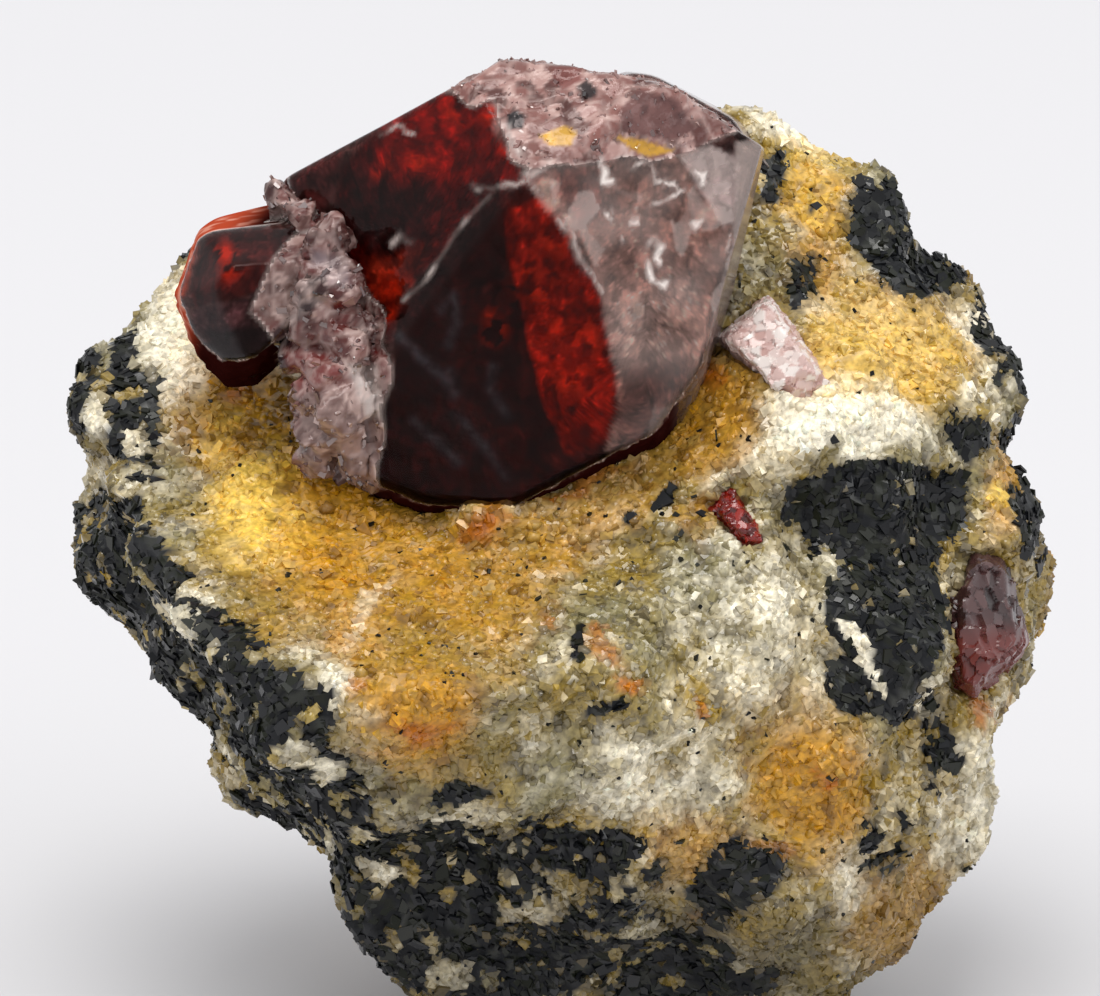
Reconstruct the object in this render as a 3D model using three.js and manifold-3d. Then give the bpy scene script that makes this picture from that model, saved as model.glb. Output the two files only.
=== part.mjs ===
// Zircon crystals on a piece of their feldspar rock: a collector's specimen about 30 mm wide.
//
// Millimetres, +Z up. The origin is on the flat base, straight under the middle of the rock.
// The display face looks towards -Y and leans back, so the whole specimen is laid out in a
// group of its own, the face frame, which is turned by that lean: X runs to the right, Z up
// the face and -Y straight out of it. Its origin is the middle of the rock.
//
// The crystals are cut from a block by flat faces, the way a crystal is bounded. The rock is a
// fine ball whose points are moved out to broken faces. The mica books are shells of the rock.
import * as THREE from "three";
import { mergeVertices } from "three/addons/utils/BufferGeometryUtils.js";
import Module from "manifold-3d";

const wasm = await Module();
wasm.setup();

// ---- driving dimensions, in mm and degrees ----

const FACE_LEAN = 18;
const MIDDLE_HEIGHT = 14.55; // of the middle of the rock above its flat base
const ROCK_GRID = 21; // squares along each of the ball's six sides
const EDGE_WEAR = 0.55; // how far the rock's broken edges are worn in
const LOBE_BLEND = 0.8; // how wide the rock's lobes run into each other
const LUMP_HEIGHT = 0.25;
const LUMP_WAVES = 14;
const LONG_WAVE = 7.5;
const SHORT_WAVE = 2.6;
const SEAT_GAP = 0.3; // between a crystal or a mica book and the rock it sits in
const CHIP_FACES = 9; // of each broken block beside the large crystal
const CHIP_UNEVEN = 0.28;
const TURN_STEP = 137.5; // degrees from one spread-out direction to the next
const MICA_PROUD = 0.25; // how far the mica books stand out of the rock
const MICA_DEPTH = 1.5;
const WEDGE_START = 0.4; // of the way from the middle of the rock to its surface
const WEDGE_END = 1.6;
const SIGHT_STEP = 0.1;
const BLOCK = 60; // larger than the specimen

const degrees = THREE.MathUtils.degToRad;

// The direction that points `around` degrees in the plane of the face (0 is right, 90 is up)
// and `out` degrees out of it (90 is straight out of the face, -90 straight back).
function direction(around, out) {
  const flat = Math.cos(degrees(out));
  return new THREE.Vector3(
    flat * Math.cos(degrees(around)),
    -Math.sin(degrees(out)),
    flat * Math.sin(degrees(around)),
  );
}

// A point of the face frame from its place across, up and out of the face.
const place = (across, up, out) => new THREE.Vector3(across, -out, up);

// ---- solids ----

function solidOf(geometry) {
  const bare = geometry.clone();
  bare.deleteAttribute("normal");
  bare.deleteAttribute("uv");
  const merged = mergeVertices(bare, 1e-4);
  return new wasm.Manifold(
    new wasm.Mesh({
      numProp: 3,
      vertProperties: merged.attributes.position.array,
      triVerts: new Uint32Array(merged.index.array),
    }),
  );
}

function geometryOf(solid) {
  const mesh = solid.getMesh();
  const geometry = new THREE.BufferGeometry();
  geometry.setAttribute("position", new THREE.BufferAttribute(mesh.vertProperties, 3));
  geometry.setIndex(new THREE.BufferAttribute(mesh.triVerts, 1));
  const flat = geometry.toNonIndexed();
  flat.computeVertexNormals();
  return flat;
}

// The convex solid inside the given faces, each { normal, through }, grown outwards by `grow`.
function bounded(faces, grow = 0) {
  let solid = solidOf(new THREE.BoxGeometry(BLOCK, BLOCK, BLOCK));
  for (const { normal, through } of faces) {
    const n = normal;
    const distance = n.dot(through) + grow;
    solid = solid.trimByPlane([-n.x, -n.y, -n.z], -distance);
  }
  return solid;
}

// The largest of a solid's bodies: crumbs that a cut leaves behind are dropped.
const largest = (solid) => solid.decompose().sort((a, b) => b.volume() - a.volume())[0];

// A crystal face: its outward direction, as in direction(), and a point that it passes through.
const face = (around, out, through) => ({ normal: direction(around, out), through });

// ---- the rock ----

// Three lobes, each bounded by broken faces [around, out, distance from the middle].
const BODY = [
  [157, 0, 17.0], // left rim
  [190, 2, 13.8],
  [209, 0, 12.3],
  [225, -6, 11.2], // lower left
  [310, 0, 14.8], // lower right
  [328, 0, 15.0],
  [346, 0, 15.5],
  [6, 0, 14.5], // right rim
  [24, 0, 14.2],
  [46, -5, 14.0],
  [93, 10, 9.6], // top
  [134, 24, 13.2],
  [99, 46, 5.9], // the slope that carries the crystals
  [60, 42, 8.8],
  [165, 50, 11.4],
  [262, 88, 7.4], // display face
  [222, 40, 10.5], // dark flank, lower left
  [268, 42, 12.0], // under the display face
  [302, 42, 12.9],
  [0, 40, 12.0], // right flank
  [42, 38, 11.5],
  [90, -50, 9.8], // back
  [20, -48, 11.4],
  [160, -45, 12.6],
  [205, -42, 10.8],
  [330, -42, 11.8],
  [95, -80, 9.0],
  [250, -78, 9.6],
];
const RIDGE = [
  [64, 0, 16.0], // the crest behind the crystals, upper right
  [40, 2, 14.3],
  [108, 8, 11.6],
  [150, 45, 3.0], // its side towards the crystals
  [84, 50, 9.2],
  [40, 40, 11.6],
  [350, 40, 11.0],
  [355, 0, 13.6],
  [300, 20, 8.0],
  [225, 0, 5.0],
  [80, -45, 10.8],
  [20, -48, 11.4],
  [180, -40, 6.0],
  [0, -90, 7.2],
];
const FOOT = [
  [212, 0, 10.1], // left side of the foot
  [228, -30, 13.0],
  [324, 2, 14.6], // right side
  [310, -34, 15.0],
  [270, 40, 12.2], // front
  [262, -66, 12.2], // back
  [90, -40, 7.0],
  [180, -40, 9.4],
  [90, 30, 4.0],
  [0, 40, 9.0],
  [0, -40, 9.5],
];
// Knobs and hollows of the display face: [across, up, width, height above the broken face].
const KNOBS = [
  [-9.0, 2.2, 1.5, 0.7], // ochre crust
  [-12.4, -4.0, 1.5, 0.7],
  [-2.3, 1.0, 1.3, 0.45], // under the large crystal
  [8.2, 4.6, 2.2, 0.8], // white shoulder, right of the large crystal
  [5.2, 4.6, 1.5, 0.6],
  [6.4, -5.6, 3.0, 0.8], // feldspar sheet, lower right
  [-4.6, -3.4, 2.4, 0.5],
  [10.4, -6.6, 2.4, -0.9],
  [4.4, 10.2, 2.0, -0.8], // hollow under the back crystal
  [8.9, 8.4, 1.8, -0.6],
  [-0.5, -4.6, 2.2, -0.35],
];

// A smooth least value: it stays under the least by up to wear * log(count).
const smoothLeast = (values, wear) =>
  -wear * Math.log(values.reduce((sum, v) => sum + Math.exp(-v / wear), 0));

// How far the broken faces of one lobe are from the middle, along a unit direction.
function lobeReach(lobe, ray) {
  const reaches = lobe
    .map(([around, out, distance]) => distance / Math.max(1e-3, direction(around, out).dot(ray)))
    .filter((reach) => reach < BLOCK);
  return smoothLeast(reaches, EDGE_WEAR);
}

// Lumps: sine waves of many directions and lengths, added up at a point.
function lumpHeight(point) {
  let height = 0;
  for (let i = 0; i < LUMP_WAVES; i++) {
    const share = (i + 0.5) / LUMP_WAVES;
    const turn = i * Math.PI * (3 - Math.sqrt(5));
    const rise = 1 - 2 * share;
    const flat = Math.sqrt(1 - rise * rise);
    const along =
      point.x * flat * Math.cos(turn) + point.z * flat * Math.sin(turn) - point.y * rise;
    const wave = LONG_WAVE * (SHORT_WAVE / LONG_WAVE) ** ((i * 5) % LUMP_WAVES / LUMP_WAVES);
    height += (wave / LONG_WAVE) * Math.sin((2 * Math.PI * along) / wave + 3 * turn);
  }
  return height * LUMP_HEIGHT;
}

// Knobs and hollows at a point of the display face: round bells, faded out towards the back.
function knobHeight(point) {
  const front = THREE.MathUtils.smoothstep(-point.y, -2, 2);
  return KNOBS.reduce((height, [across, up, width, rise]) => {
    const away = Math.hypot(point.x - across, point.z - up) / width;
    return height + front * rise * Math.exp(-away * away);
  }, 0);
}

// Where the rock's surface is along a unit direction, in the face frame.
function rockPoint(ray, proud = 0) {
  const reaches = [BODY, RIDGE, FOOT].map((lobe) => -lobeReach(lobe, ray));
  const point = ray.clone().multiplyScalar(-smoothLeast(reaches, LOBE_BLEND));
  const rise = lumpHeight(point) + knobHeight(point) + proud;
  return point.add(ray.clone().multiplyScalar(rise));
}

// The flat base, which is level when the specimen stands, and so leans in the face frame.
const BASE_NORMAL = direction(270, -FACE_LEAN);

// The whole rock, its surface moved out by `proud`.
function rockSolid(proud = 0) {
  const ball = new THREE.BoxGeometry(1, 1, 1, ROCK_GRID, ROCK_GRID, ROCK_GRID);
  const spots = ball.attributes.position;
  for (let i = 0; i < spots.count; i++) {
    const ray = new THREE.Vector3().fromBufferAttribute(spots, i).normalize();
    spots.setXYZ(i, ...rockPoint(ray, proud).toArray());
  }
  const n = BASE_NORMAL;
  return solidOf(ball).trimByPlane([-n.x, -n.y, -n.z], -MIDDLE_HEIGHT);
}

// ---- the zircons ----

const CORNER = place(-0.75, 11.3, 10.8); // where four faces of the large crystal meet
const LARGE_ZIRCON = [
  face(164, 52, CORNER), // upper left face
  face(262, 71, CORNER), // lower face
  face(355, 61, CORNER), // right face
  face(92, 53, CORNER), // broken top
  face(335, 53, place(2.2, 5.35, 8.9)), // small facet, lower right
  face(325, 12, place(3.6, 4.8, 7.4)), // broken foot, against the rock
  face(296, 10, place(0.8, 2.65, 7.4)),
  face(268, 10, place(-2.4, 1.6, 7.4)),
  face(247, 12, place(-4.6, 1.9, 7.4)),
  face(345, 6, place(5.2, 9.2, 6.8)), // right rim
  face(117, 0, place(-4.65, 13.25, 7.2)), // upper left edge
  face(81, 2, place(1, 14.5, 7.2)), // upper right edge
  face(58, 2, place(4.6, 13.2, 6.6)),
  face(188, 8, place(-7.9, 9.5, 5.0)), // left end
  face(192, 32, place(-5.3, 4.5, 8.25)), // broken lower left
  face(85, -42, place(-1.5, 14.7, 6.2)), // back
  face(10, -45, place(5.4, 9, 4.4)),
  face(180, -45, place(-7.6, 9, 3.4)),
  face(265, -35, place(0, 1.6, 3.5)),
  face(0, -90, place(0, 8, 1.0)),
];
const LEFT_ZIRCON = [
  face(161, 4, place(-11.35, 8.2, 5.5)), // left side
  face(124, 8, place(-10.7, 9.8, 5.5)),
  face(97, 10, place(-9.2, 10.15, 5.5)), // top
  face(202, 4, place(-11.2, 7.3, 5.5)),
  face(228, 8, place(-10.4, 6.1, 5.5)),
  face(267, 10, place(-9.5, 5.7, 5.5)), // bottom
  face(310, 6, place(-8.4, 6.3, 5.5)),
  face(0, 0, place(-7.0, 8, 5.5)),
  face(255, 72, place(-9.3, 8.0, 7.9)), // front
  face(100, 42, place(-9.0, 9.6, 7.2)),
  face(165, 38, place(-10.6, 8.4, 7.2)),
  face(215, 40, place(-10.2, 6.9, 7.0)),
  face(0, -90, place(-9, 8, 2.6)), // back
  face(150, -40, place(-10.6, 9.4, 3.6)),
];
const BACK_ZIRCON = [
  face(84, 4, place(2.6, 14.75, 0.6)), // crest
  face(62, 4, place(4.4, 13.9, 0.6)),
  face(35, 8, place(6.0, 12.6, 0.6)),
  face(350, 10, place(6.3, 10, 0.6)),
  face(120, 8, place(0.8, 14.1, 0.6)),
  face(182, 10, place(-0.6, 11, 0.6)),
  face(80, 50, place(2.5, 12.6, 3.0)), // front
  face(330, 55, place(3.5, 11.0, 3.0)),
  face(85, -45, place(2.5, 13.6, -1.4)), // back
  face(10, -40, place(5.4, 11, -1.6)),
  face(190, -40, place(0.2, 11, -1.6)),
  face(270, 0, place(2.6, 5.6, 0)),
  face(0, -90, place(2.6, 10, -3.0)),
];
const PINK_ZIRCON = [
  face(40, 8, place(7.6, 6.0, 6.0)), // long right side
  face(218, 8, place(6.2, 5.0, 6.0)),
  face(128, 6, place(5.7, 7.3, 6.0)),
  face(305, 6, place(7.9, 4.3, 6.0)),
  face(120, 60, place(6.8, 5.7, 7.6)), // front
  face(330, 50, place(7.2, 5.4, 7.5)),
  face(245, 55, place(6.6, 5.0, 7.5)),
  face(0, -90, place(6.6, 6, 3.2)),
];
const SMALL_ZIRCON = [
  face(38, 14, place(5.9, 1.1, 8.0)),
  face(218, 14, place(5.2, 0.55, 8.0)),
  face(128, 20, place(4.8, 1.7, 8.0)),
  face(308, 16, place(6.2, 0.0, 8.0)),
  face(70, 55, place(5.5, 0.9, 8.9)), // front
  face(250, 60, place(5.55, 0.75, 8.85)),
  face(0, -90, place(5.6, 0.8, 6.2)),
];
const RIGHT_ZIRCON = [
  face(15, 10, place(13.6, -1.4, 3.5)),
  face(62, 14, place(13.2, -0.1, 3.5)),
  face(150, 12, place(12.2, -0.4, 4.0)),
  face(190, 12, place(11.6, -2.2, 4.0)),
  face(245, 14, place(12.2, -3.9, 4.0)),
  face(318, 10, place(13.1, -3.4, 3.5)),
  face(20, 48, place(12.9, -1.6, 4.6)), // front
  face(210, 75, place(12.5, -2.2, 5.2)),
  face(0, -90, place(12.7, -2, 1.6)),
];

// Broken blocks between the left and the large crystal, grown together with both:
// [across, up, out, radius].
const RUBBLE = [
  [-8.3, 10.7, 6.4, 0.7],
  [-7.7, 10.2, 6.9, 0.8],
  [-6.9, 9.5, 7.7, 1.0],
  [-6.8, 8.3, 7.9, 1.1],
  [-7.0, 7.1, 7.8, 1.1],
  [-6.2, 6.5, 8.3, 1.0],
  [-7.5, 6.2, 7.4, 0.9],
  [-6.8, 5.5, 7.7, 1.1],
  [-7.4, 4.9, 7.1, 0.9],
  [-6.3, 4.6, 7.6, 1.1],
  [-6.9, 3.9, 7.0, 1.0],
  [-6.0, 3.4, 7.2, 0.9],
  [-7.2, 3.1, 6.6, 0.8],
];

// The faces of one block: spread evenly over a ball, with uneven distances from its middle.
function chipFaces([across, up, out, radius], index) {
  const middle = place(across, up, out);
  return Array.from({ length: CHIP_FACES }, (_, i) => {
    const around = (i + index * CHIP_FACES) * TURN_STEP;
    const tilt = Math.asin(1 - (2 * (i + 0.5)) / CHIP_FACES) / degrees(1);
    const distance = radius * (1 - CHIP_UNEVEN * (1 - Math.sin(TURN_STEP * i + index)));
    const outward = direction(around, tilt);
    return { normal: outward, through: middle.clone().addScaledVector(outward, distance) };
  });
}

// ---- the mica books: their outlines as seen on the face [across, up] ----

const MICA = {
  biotite_right: [
    [6.8, 2.4], [7.6, 3.1], [10.4, 3.4], [12.0, 2.6], [12.2, 1.2], [10.8, -0.8],
    [11.3, -2.4], [11.4, -4.2], [10.2, -4.8], [9.2, -4.5], [8.6, -2.6], [8.4, -1.1],
    [7.8, 0.5], [7.0, 1.4],
  ],
  biotite_crest: [
    [9.1, 11.0], [10.0, 11.1], [11.1, 9.8], [11.6, 8.6], [10.8, 8.0], [9.8, 9.0], [8.8, 9.8],
  ],
  biotite_rim: [
    [-13.4, 6.8], [-12.7, 6.6], [-12.0, 4.4], [-11.9, 2.4], [-12.7, 2.4], [-13.5, 4.2],
  ],
  biotite_flank: [
    [-13.2, 1.2], [-12.2, 1.4], [-10.9, -0.8], [-9.2, -2.4], [-7.9, -4.2], [-6.7, -6.2],
    [-8.0, -7.0], [-10.0, -5.4], [-11.8, -2.8], [-12.8, -0.6],
  ],
};

// The point of the rock's surface that is seen at a place, looking straight at the face. Past
// the rock's outline it is in the plane of the middle.
function onRock([across, up]) {
  const outside = (spot) => spot.length() > rockPoint(spot.clone().normalize()).length();
  const spot = place(across, up, BLOCK / 4);
  while (spot.y < 0 && outside(spot)) spot.y += SIGHT_STEP;
  return spot;
}

// A wedge from the middle of the rock out through an outline on its surface. `grow` moves each
// side of the outline out by that much.
function wedge(outline, grow = 0) {
  const seen = outline.map(onRock);
  const middle = seen.reduce((sum, spot) => sum.add(spot), new THREE.Vector3());
  const reach = middle.length() / seen.length;
  const turn = new THREE.Quaternion().setFromUnitVectors(
    middle.normalize(),
    new THREE.Vector3(0, 0, 1),
  );
  const spots = seen.map((spot) => {
    const turned = spot.clone().applyQuaternion(turn);
    return new THREE.Vector2(turned.x, turned.y).multiplyScalar(reach / turned.z);
  });
  if (THREE.ShapeUtils.isClockWise(spots)) spots.reverse();
  const outward = (from, to) => {
    const along = to.clone().sub(from).normalize();
    return new THREE.Vector2(along.y, -along.x);
  };
  const grown = spots.map((spot, i) => {
    const before = outward(spots.at(i - 1), spot);
    const after = outward(spot, spots[(i + 1) % spots.length]);
    const corner = grow / (1 + before.dot(after));
    return spot.clone().addScaledVector(before, corner).addScaledVector(after, corner);
  });
  const geometry = new THREE.ExtrudeGeometry(new THREE.Shape(grown), {
    depth: reach * (WEDGE_END - WEDGE_START),
    bevelEnabled: false,
  });
  geometry.translate(0, 0, reach * WEDGE_START);
  const corners = geometry.attributes.position;
  for (let i = 0; i < corners.count; i++) {
    const flare = corners.getZ(i) / reach;
    corners.setXY(i, corners.getX(i) * flare, corners.getY(i) * flare);
  }
  return solidOf(geometry.applyQuaternion(turn.invert()));
}

// ---- materials ----

const finish = (color, roughness) =>
  new THREE.MeshStandardMaterial({ color, roughness, metalness: 0 });
const FELDSPAR = finish("#c9bf9b", 0.7);
const RED_ZIRCON = finish("#5a120c", 0.12);
const BROWN_ZIRCON = finish("#6b4a48", 0.35);
const PINK = finish("#b98f8c", 0.35);
const BIOTITE = finish("#1d1f24", 0.45);

// ---- assembly ----

// The crystals that grew into each other, and the broken blocks between them, are one solid.
const cluster = (grow = 0) =>
  [LARGE_ZIRCON, LEFT_ZIRCON, BACK_ZIRCON, ...RUBBLE.map(chipFaces)]
    .map((faces) => bounded(faces, grow))
    .reduce((sum, solid) => sum.add(solid));
const zircons = [
  ["zircon_cluster", cluster(), cluster(SEAT_GAP), RED_ZIRCON],
  ["zircon_pink", bounded(PINK_ZIRCON), bounded(PINK_ZIRCON, SEAT_GAP), PINK],
  ["zircon_small", bounded(SMALL_ZIRCON), bounded(SMALL_ZIRCON, SEAT_GAP), RED_ZIRCON],
  ["zircon_right", bounded(RIGHT_ZIRCON), bounded(RIGHT_ZIRCON, SEAT_GAP), BROWN_ZIRCON],
];

const specimen = new THREE.Group();
const faceFrame = new THREE.Group();
faceFrame.position.z = MIDDLE_HEIGHT;
faceFrame.rotation.x = -degrees(FACE_LEAN);
specimen.add(faceFrame);

function addNode(name, solid, material) {
  const mesh = new THREE.Mesh(geometryOf(largest(solid)), material);
  mesh.name = name;
  faceFrame.add(mesh);
}

// Each later zircon grew against those before it, so it is cut back from them by the seat gap.
let matrix = rockSolid();
const seats = [];
for (const [name, crystal, seat, material] of zircons) {
  addNode(name, seats.reduce((left, other) => left.subtract(other), crystal), material);
  matrix = matrix.subtract(seat);
  seats.push(seat);
}

const proudRock = rockSolid(MICA_PROUD);
const core = rockSolid(-MICA_DEPTH);
const pocketFloor = rockSolid(-MICA_DEPTH - SEAT_GAP);
for (const [name, outline] of Object.entries(MICA)) {
  const book = wedge(outline).intersect(proudRock).subtract(core);
  addNode(name, seats.reduce((left, other) => left.subtract(other), book), BIOTITE);
  matrix = matrix.subtract(wedge(outline, SEAT_GAP).subtract(pocketFloor));
}

addNode("matrix", matrix, FELDSPAR);

export default specimen;
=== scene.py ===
"""Zircon specimen: dark red zircon crystals on a knob of sugary feldspar rock with black mica."""

import bpy
import numpy as np
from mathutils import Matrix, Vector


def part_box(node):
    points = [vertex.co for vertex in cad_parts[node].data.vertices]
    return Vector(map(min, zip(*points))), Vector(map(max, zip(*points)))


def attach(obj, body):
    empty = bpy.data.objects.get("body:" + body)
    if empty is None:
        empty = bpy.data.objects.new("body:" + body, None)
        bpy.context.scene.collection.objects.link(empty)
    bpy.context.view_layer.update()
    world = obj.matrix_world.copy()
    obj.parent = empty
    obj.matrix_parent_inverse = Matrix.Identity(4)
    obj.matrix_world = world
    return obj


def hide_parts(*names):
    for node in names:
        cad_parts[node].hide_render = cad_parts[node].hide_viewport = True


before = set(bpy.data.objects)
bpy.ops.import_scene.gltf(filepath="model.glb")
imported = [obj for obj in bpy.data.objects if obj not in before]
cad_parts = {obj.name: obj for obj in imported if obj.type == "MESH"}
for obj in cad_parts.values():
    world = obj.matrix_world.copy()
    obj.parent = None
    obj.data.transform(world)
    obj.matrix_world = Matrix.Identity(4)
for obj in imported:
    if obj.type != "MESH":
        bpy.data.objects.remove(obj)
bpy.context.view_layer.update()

# ---- The rock ----
# One broken knob of coarse feldspar rock, which carries everything.
# Its main faces are breaks, worn round at their edges. It is cut flat below, where it stands.
# Places on it are in mm in the frame of its display face: across, up and out of the face.

FACE_LEAN = np.radians(18)
MIDDLE_HEIGHT = 14.55
EDGE_WEAR = 0.55
LOBE_BLEND = 0.8
BODY = [
    (157, 0, 17.0), (190, 2, 13.8), (209, 0, 12.3), (225, -6, 11.2), (310, 0, 14.8),
    (328, 0, 15.0), (346, 0, 15.5), (6, 0, 14.5), (24, 0, 14.2), (46, -5, 14.0), (93, 10, 9.6),
    (134, 24, 13.2), (99, 46, 5.9), (60, 42, 8.8), (165, 50, 11.4), (262, 88, 7.4),
    (222, 40, 10.5), (268, 42, 12.0), (302, 42, 12.9), (0, 40, 12.0), (42, 38, 11.5),
    (90, -50, 9.8), (20, -48, 11.4), (160, -45, 12.6), (205, -42, 10.8), (330, -42, 11.8),
    (95, -80, 9.0), (250, -78, 9.6),
]
RIDGE = [
    (64, 0, 16.0), (40, 2, 14.3), (108, 8, 11.6), (150, 45, 3.0), (84, 50, 9.2),
    (40, 40, 11.6), (350, 40, 11.0), (355, 0, 13.6), (300, 20, 8.0), (225, 0, 5.0),
    (80, -45, 10.8), (20, -48, 11.4), (180, -40, 6.0), (0, -90, 7.2),
]
FOOT = [
    (212, 0, 10.1), (228, -30, 13.0), (324, 2, 14.6), (310, -34, 15.0), (270, 40, 12.2),
    (262, -66, 12.2), (90, -40, 7.0), (180, -40, 9.4), (90, 30, 4.0), (0, 40, 9.0),
    (0, -40, 9.5),
]
KNOBS = [
    (-9.0, 2.2, 1.5, 0.7), (-12.4, -4.0, 1.5, 0.7), (-2.3, 1.0, 1.3, 0.45),
    (8.2, 4.6, 2.2, 0.8), (5.2, 4.6, 1.5, 0.6), (6.4, -5.6, 3.0, 0.8),
    (-4.6, -3.4, 2.4, 0.5), (10.4, -6.6, 2.4, -0.9), (4.4, 10.2, 2.0, -0.8),
    (8.9, 8.4, 1.8, -0.6), (-0.5, -4.6, 2.2, -0.35),
]
LUMP_HEIGHT = 0.25
LUMP_WAVES = 14
LONG_WAVE = 7.5
SHORT_WAVE = 2.6
# Finer relief of the broken grain: (size in mm, height in mm)
BROKEN_GRAIN = [(2.1, 0.17), (1.0, 0.14), (0.5, 0.08)]
CLEAVED_GRAIN = 0.42  # mm, across the grains whose flat breaks make up the surface
GRAIN_ROOM = 0.2  # mm left for the grains that stand on the rock
ROCK_PANEL = 116  # squares along each edge of the six-sided net over the rock


def direction(around, out):
    """Unit vector (across, up, out): cos(out) * (cos, sin) of around, and sin(out)."""
    a, o = np.radians(around), np.radians(out)
    return np.stack([np.cos(o) * np.cos(a), np.cos(o) * np.sin(a), np.sin(o)], -1)


def to_row(points):
    """Face-frame mm to the row frame in metres: turned back by the lean, raised to the middle."""
    across, up, out = np.moveaxis(points, -1, 0)
    lean, rise = np.sin(FACE_LEAN), np.cos(FACE_LEAN)
    row = np.stack([across, up * lean - out * rise, up * rise + out * lean + MIDDLE_HEIGHT], -1)
    return row / 1000


def smooth_least(values, wear):
    """-wear * log(sum of exp(-value / wear)) over the last axis: the least, with worn edges."""
    low = values.min(-1, keepdims=True)
    return low[..., 0] - wear * np.log(np.exp((low - values) / wear).sum(-1))


def lobe_reach(lobe, rays):
    """Along each ray, the smooth least of distance / cosine over the lobe's broken faces."""
    around, out, distance = np.array(lobe, float).T
    cosine = rays @ direction(around, out).T
    return smooth_least(np.minimum(distance / np.maximum(cosine, 1e-3), 60.0), EDGE_WEAR)


def lumps(points):
    """Sum of sine waves of spread-out directions, each as high as it is long."""
    height = np.zeros(points.shape[:-1])
    for i in range(LUMP_WAVES):
        turn = i * np.pi * (3 - np.sqrt(5))
        rise = 1 - 2 * (i + 0.5) / LUMP_WAVES
        flat = np.sqrt(1 - rise * rise)
        along = points @ np.array([flat * np.cos(turn), flat * np.sin(turn), rise])
        wave = LONG_WAVE * (SHORT_WAVE / LONG_WAVE) ** (i * 5 % LUMP_WAVES / LUMP_WAVES)
        height += wave / LONG_WAVE * np.sin(2 * np.pi * along / wave + 3 * turn)
    return height * LUMP_HEIGHT


def ease(value, start, end):
    """Smoothstep: 0 before start, 1 after end, 3 t^2 - 2 t^3 between."""
    t = np.clip((value - start) / (end - start), 0, 1)
    return t * t * (3 - 2 * t)


def knobs(points):
    """Sum of round bells rise * exp(-(away / width)^2), faded out towards the back."""
    height = np.zeros(points.shape[:-1])
    for across, up, width, rise in KNOBS:
        away = np.hypot(points[..., 0] - across, points[..., 1] - up) / width
        height += rise * np.exp(-away * away)
    return height * ease(points[..., 2], -2, 2)


def chance(cells, seed):
    """A fixed number from 0 to 1 for each whole-number cell: its coordinates, scrambled."""
    x, y, z = np.moveaxis(cells.astype(np.int64), -1, 0)
    mixed = (x * 374761393 + y * 668265263 + z * 1274126177 + seed * 69069) & 0xFFFFFFFF
    mixed = ((mixed ^ (mixed >> 13)) * 1274126177) & 0xFFFFFFFF
    return ((mixed ^ (mixed >> 16)) & 0xFFFFFF) / 0xFFFFFF


def cloud(points, size, seed=0):
    """Value noise from -1 to 1: the chances at the corners of cubes, blended smoothly between."""
    spot = points / size
    base = np.floor(spot)
    part = spot - base
    part = part * part * (3 - 2 * part)
    total = np.zeros(points.shape[:-1])
    for corner in np.ndindex(2, 2, 2):
        share = np.where(corner, part, 1 - part).prod(-1)
        total += share * chance(base + np.array(corner), seed)
    return 2 * total - 1


def cells(points, size, seed):
    """Cells round one stray seed in each cube of `size`: the way from the nearest seed, in cubes,
    the cell's own chance, and how much further away the second nearest seed is."""
    spot = points / size
    base = np.floor(spot)
    first = np.full(points.shape[:-1], 9.0)
    second, own, way = first.copy(), np.zeros_like(first), np.zeros_like(points)
    for step in np.ndindex(3, 3, 3):
        cell = base + np.array(step) - 1
        from_seed = spot - cell - np.stack([chance(cell, seed + k) for k in range(3)], -1)
        away = np.linalg.norm(from_seed, axis=-1)
        closer = away < first
        second = np.where(closer, first, np.minimum(second, away))
        first = np.where(closer, away, first)
        way = np.where(closer[..., None], from_seed, way)
        own = np.where(closer, chance(cell, seed + 3), own)
    return way, own, second - first


def breaks(points, size, seed):
    """Relief of broken glass: each cell is a plane with a height and a tilt of its own."""
    way, own, _ = cells(points, size, seed)
    tilt = np.stack([np.sin(40 * own), np.cos(40 * own), np.sin(73 * own)], -1)
    return size * (0.3 * (own - 0.5) + 0.35 * (way * tilt).sum(-1))


# The crystals that the rock grew round, as faces (around, out, a point on the face)
CORNER = (-0.75, 11.3, 10.8)
LARGE = [
    (164, 52, CORNER), (262, 71, CORNER), (355, 61, CORNER), (92, 53, CORNER),
    (335, 53, (2.2, 5.35, 8.9)), (325, 12, (3.6, 4.8, 7.4)), (296, 10, (0.8, 2.65, 7.4)),
    (268, 10, (-2.4, 1.6, 7.4)), (247, 12, (-4.6, 1.9, 7.4)), (345, 6, (5.2, 9.2, 6.8)),
    (117, 0, (-4.65, 13.25, 7.2)), (81, 2, (1, 14.5, 7.2)), (58, 2, (4.6, 13.2, 6.6)),
    (188, 8, (-7.9, 9.5, 5.0)), (192, 32, (-5.3, 4.5, 8.25)), (85, -42, (-1.5, 14.7, 6.2)),
    (10, -45, (5.4, 9, 4.4)), (180, -45, (-7.6, 9, 3.4)), (265, -35, (0, 1.6, 3.5)),
    (0, -90, (0, 8, 1.0)),
]
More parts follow.
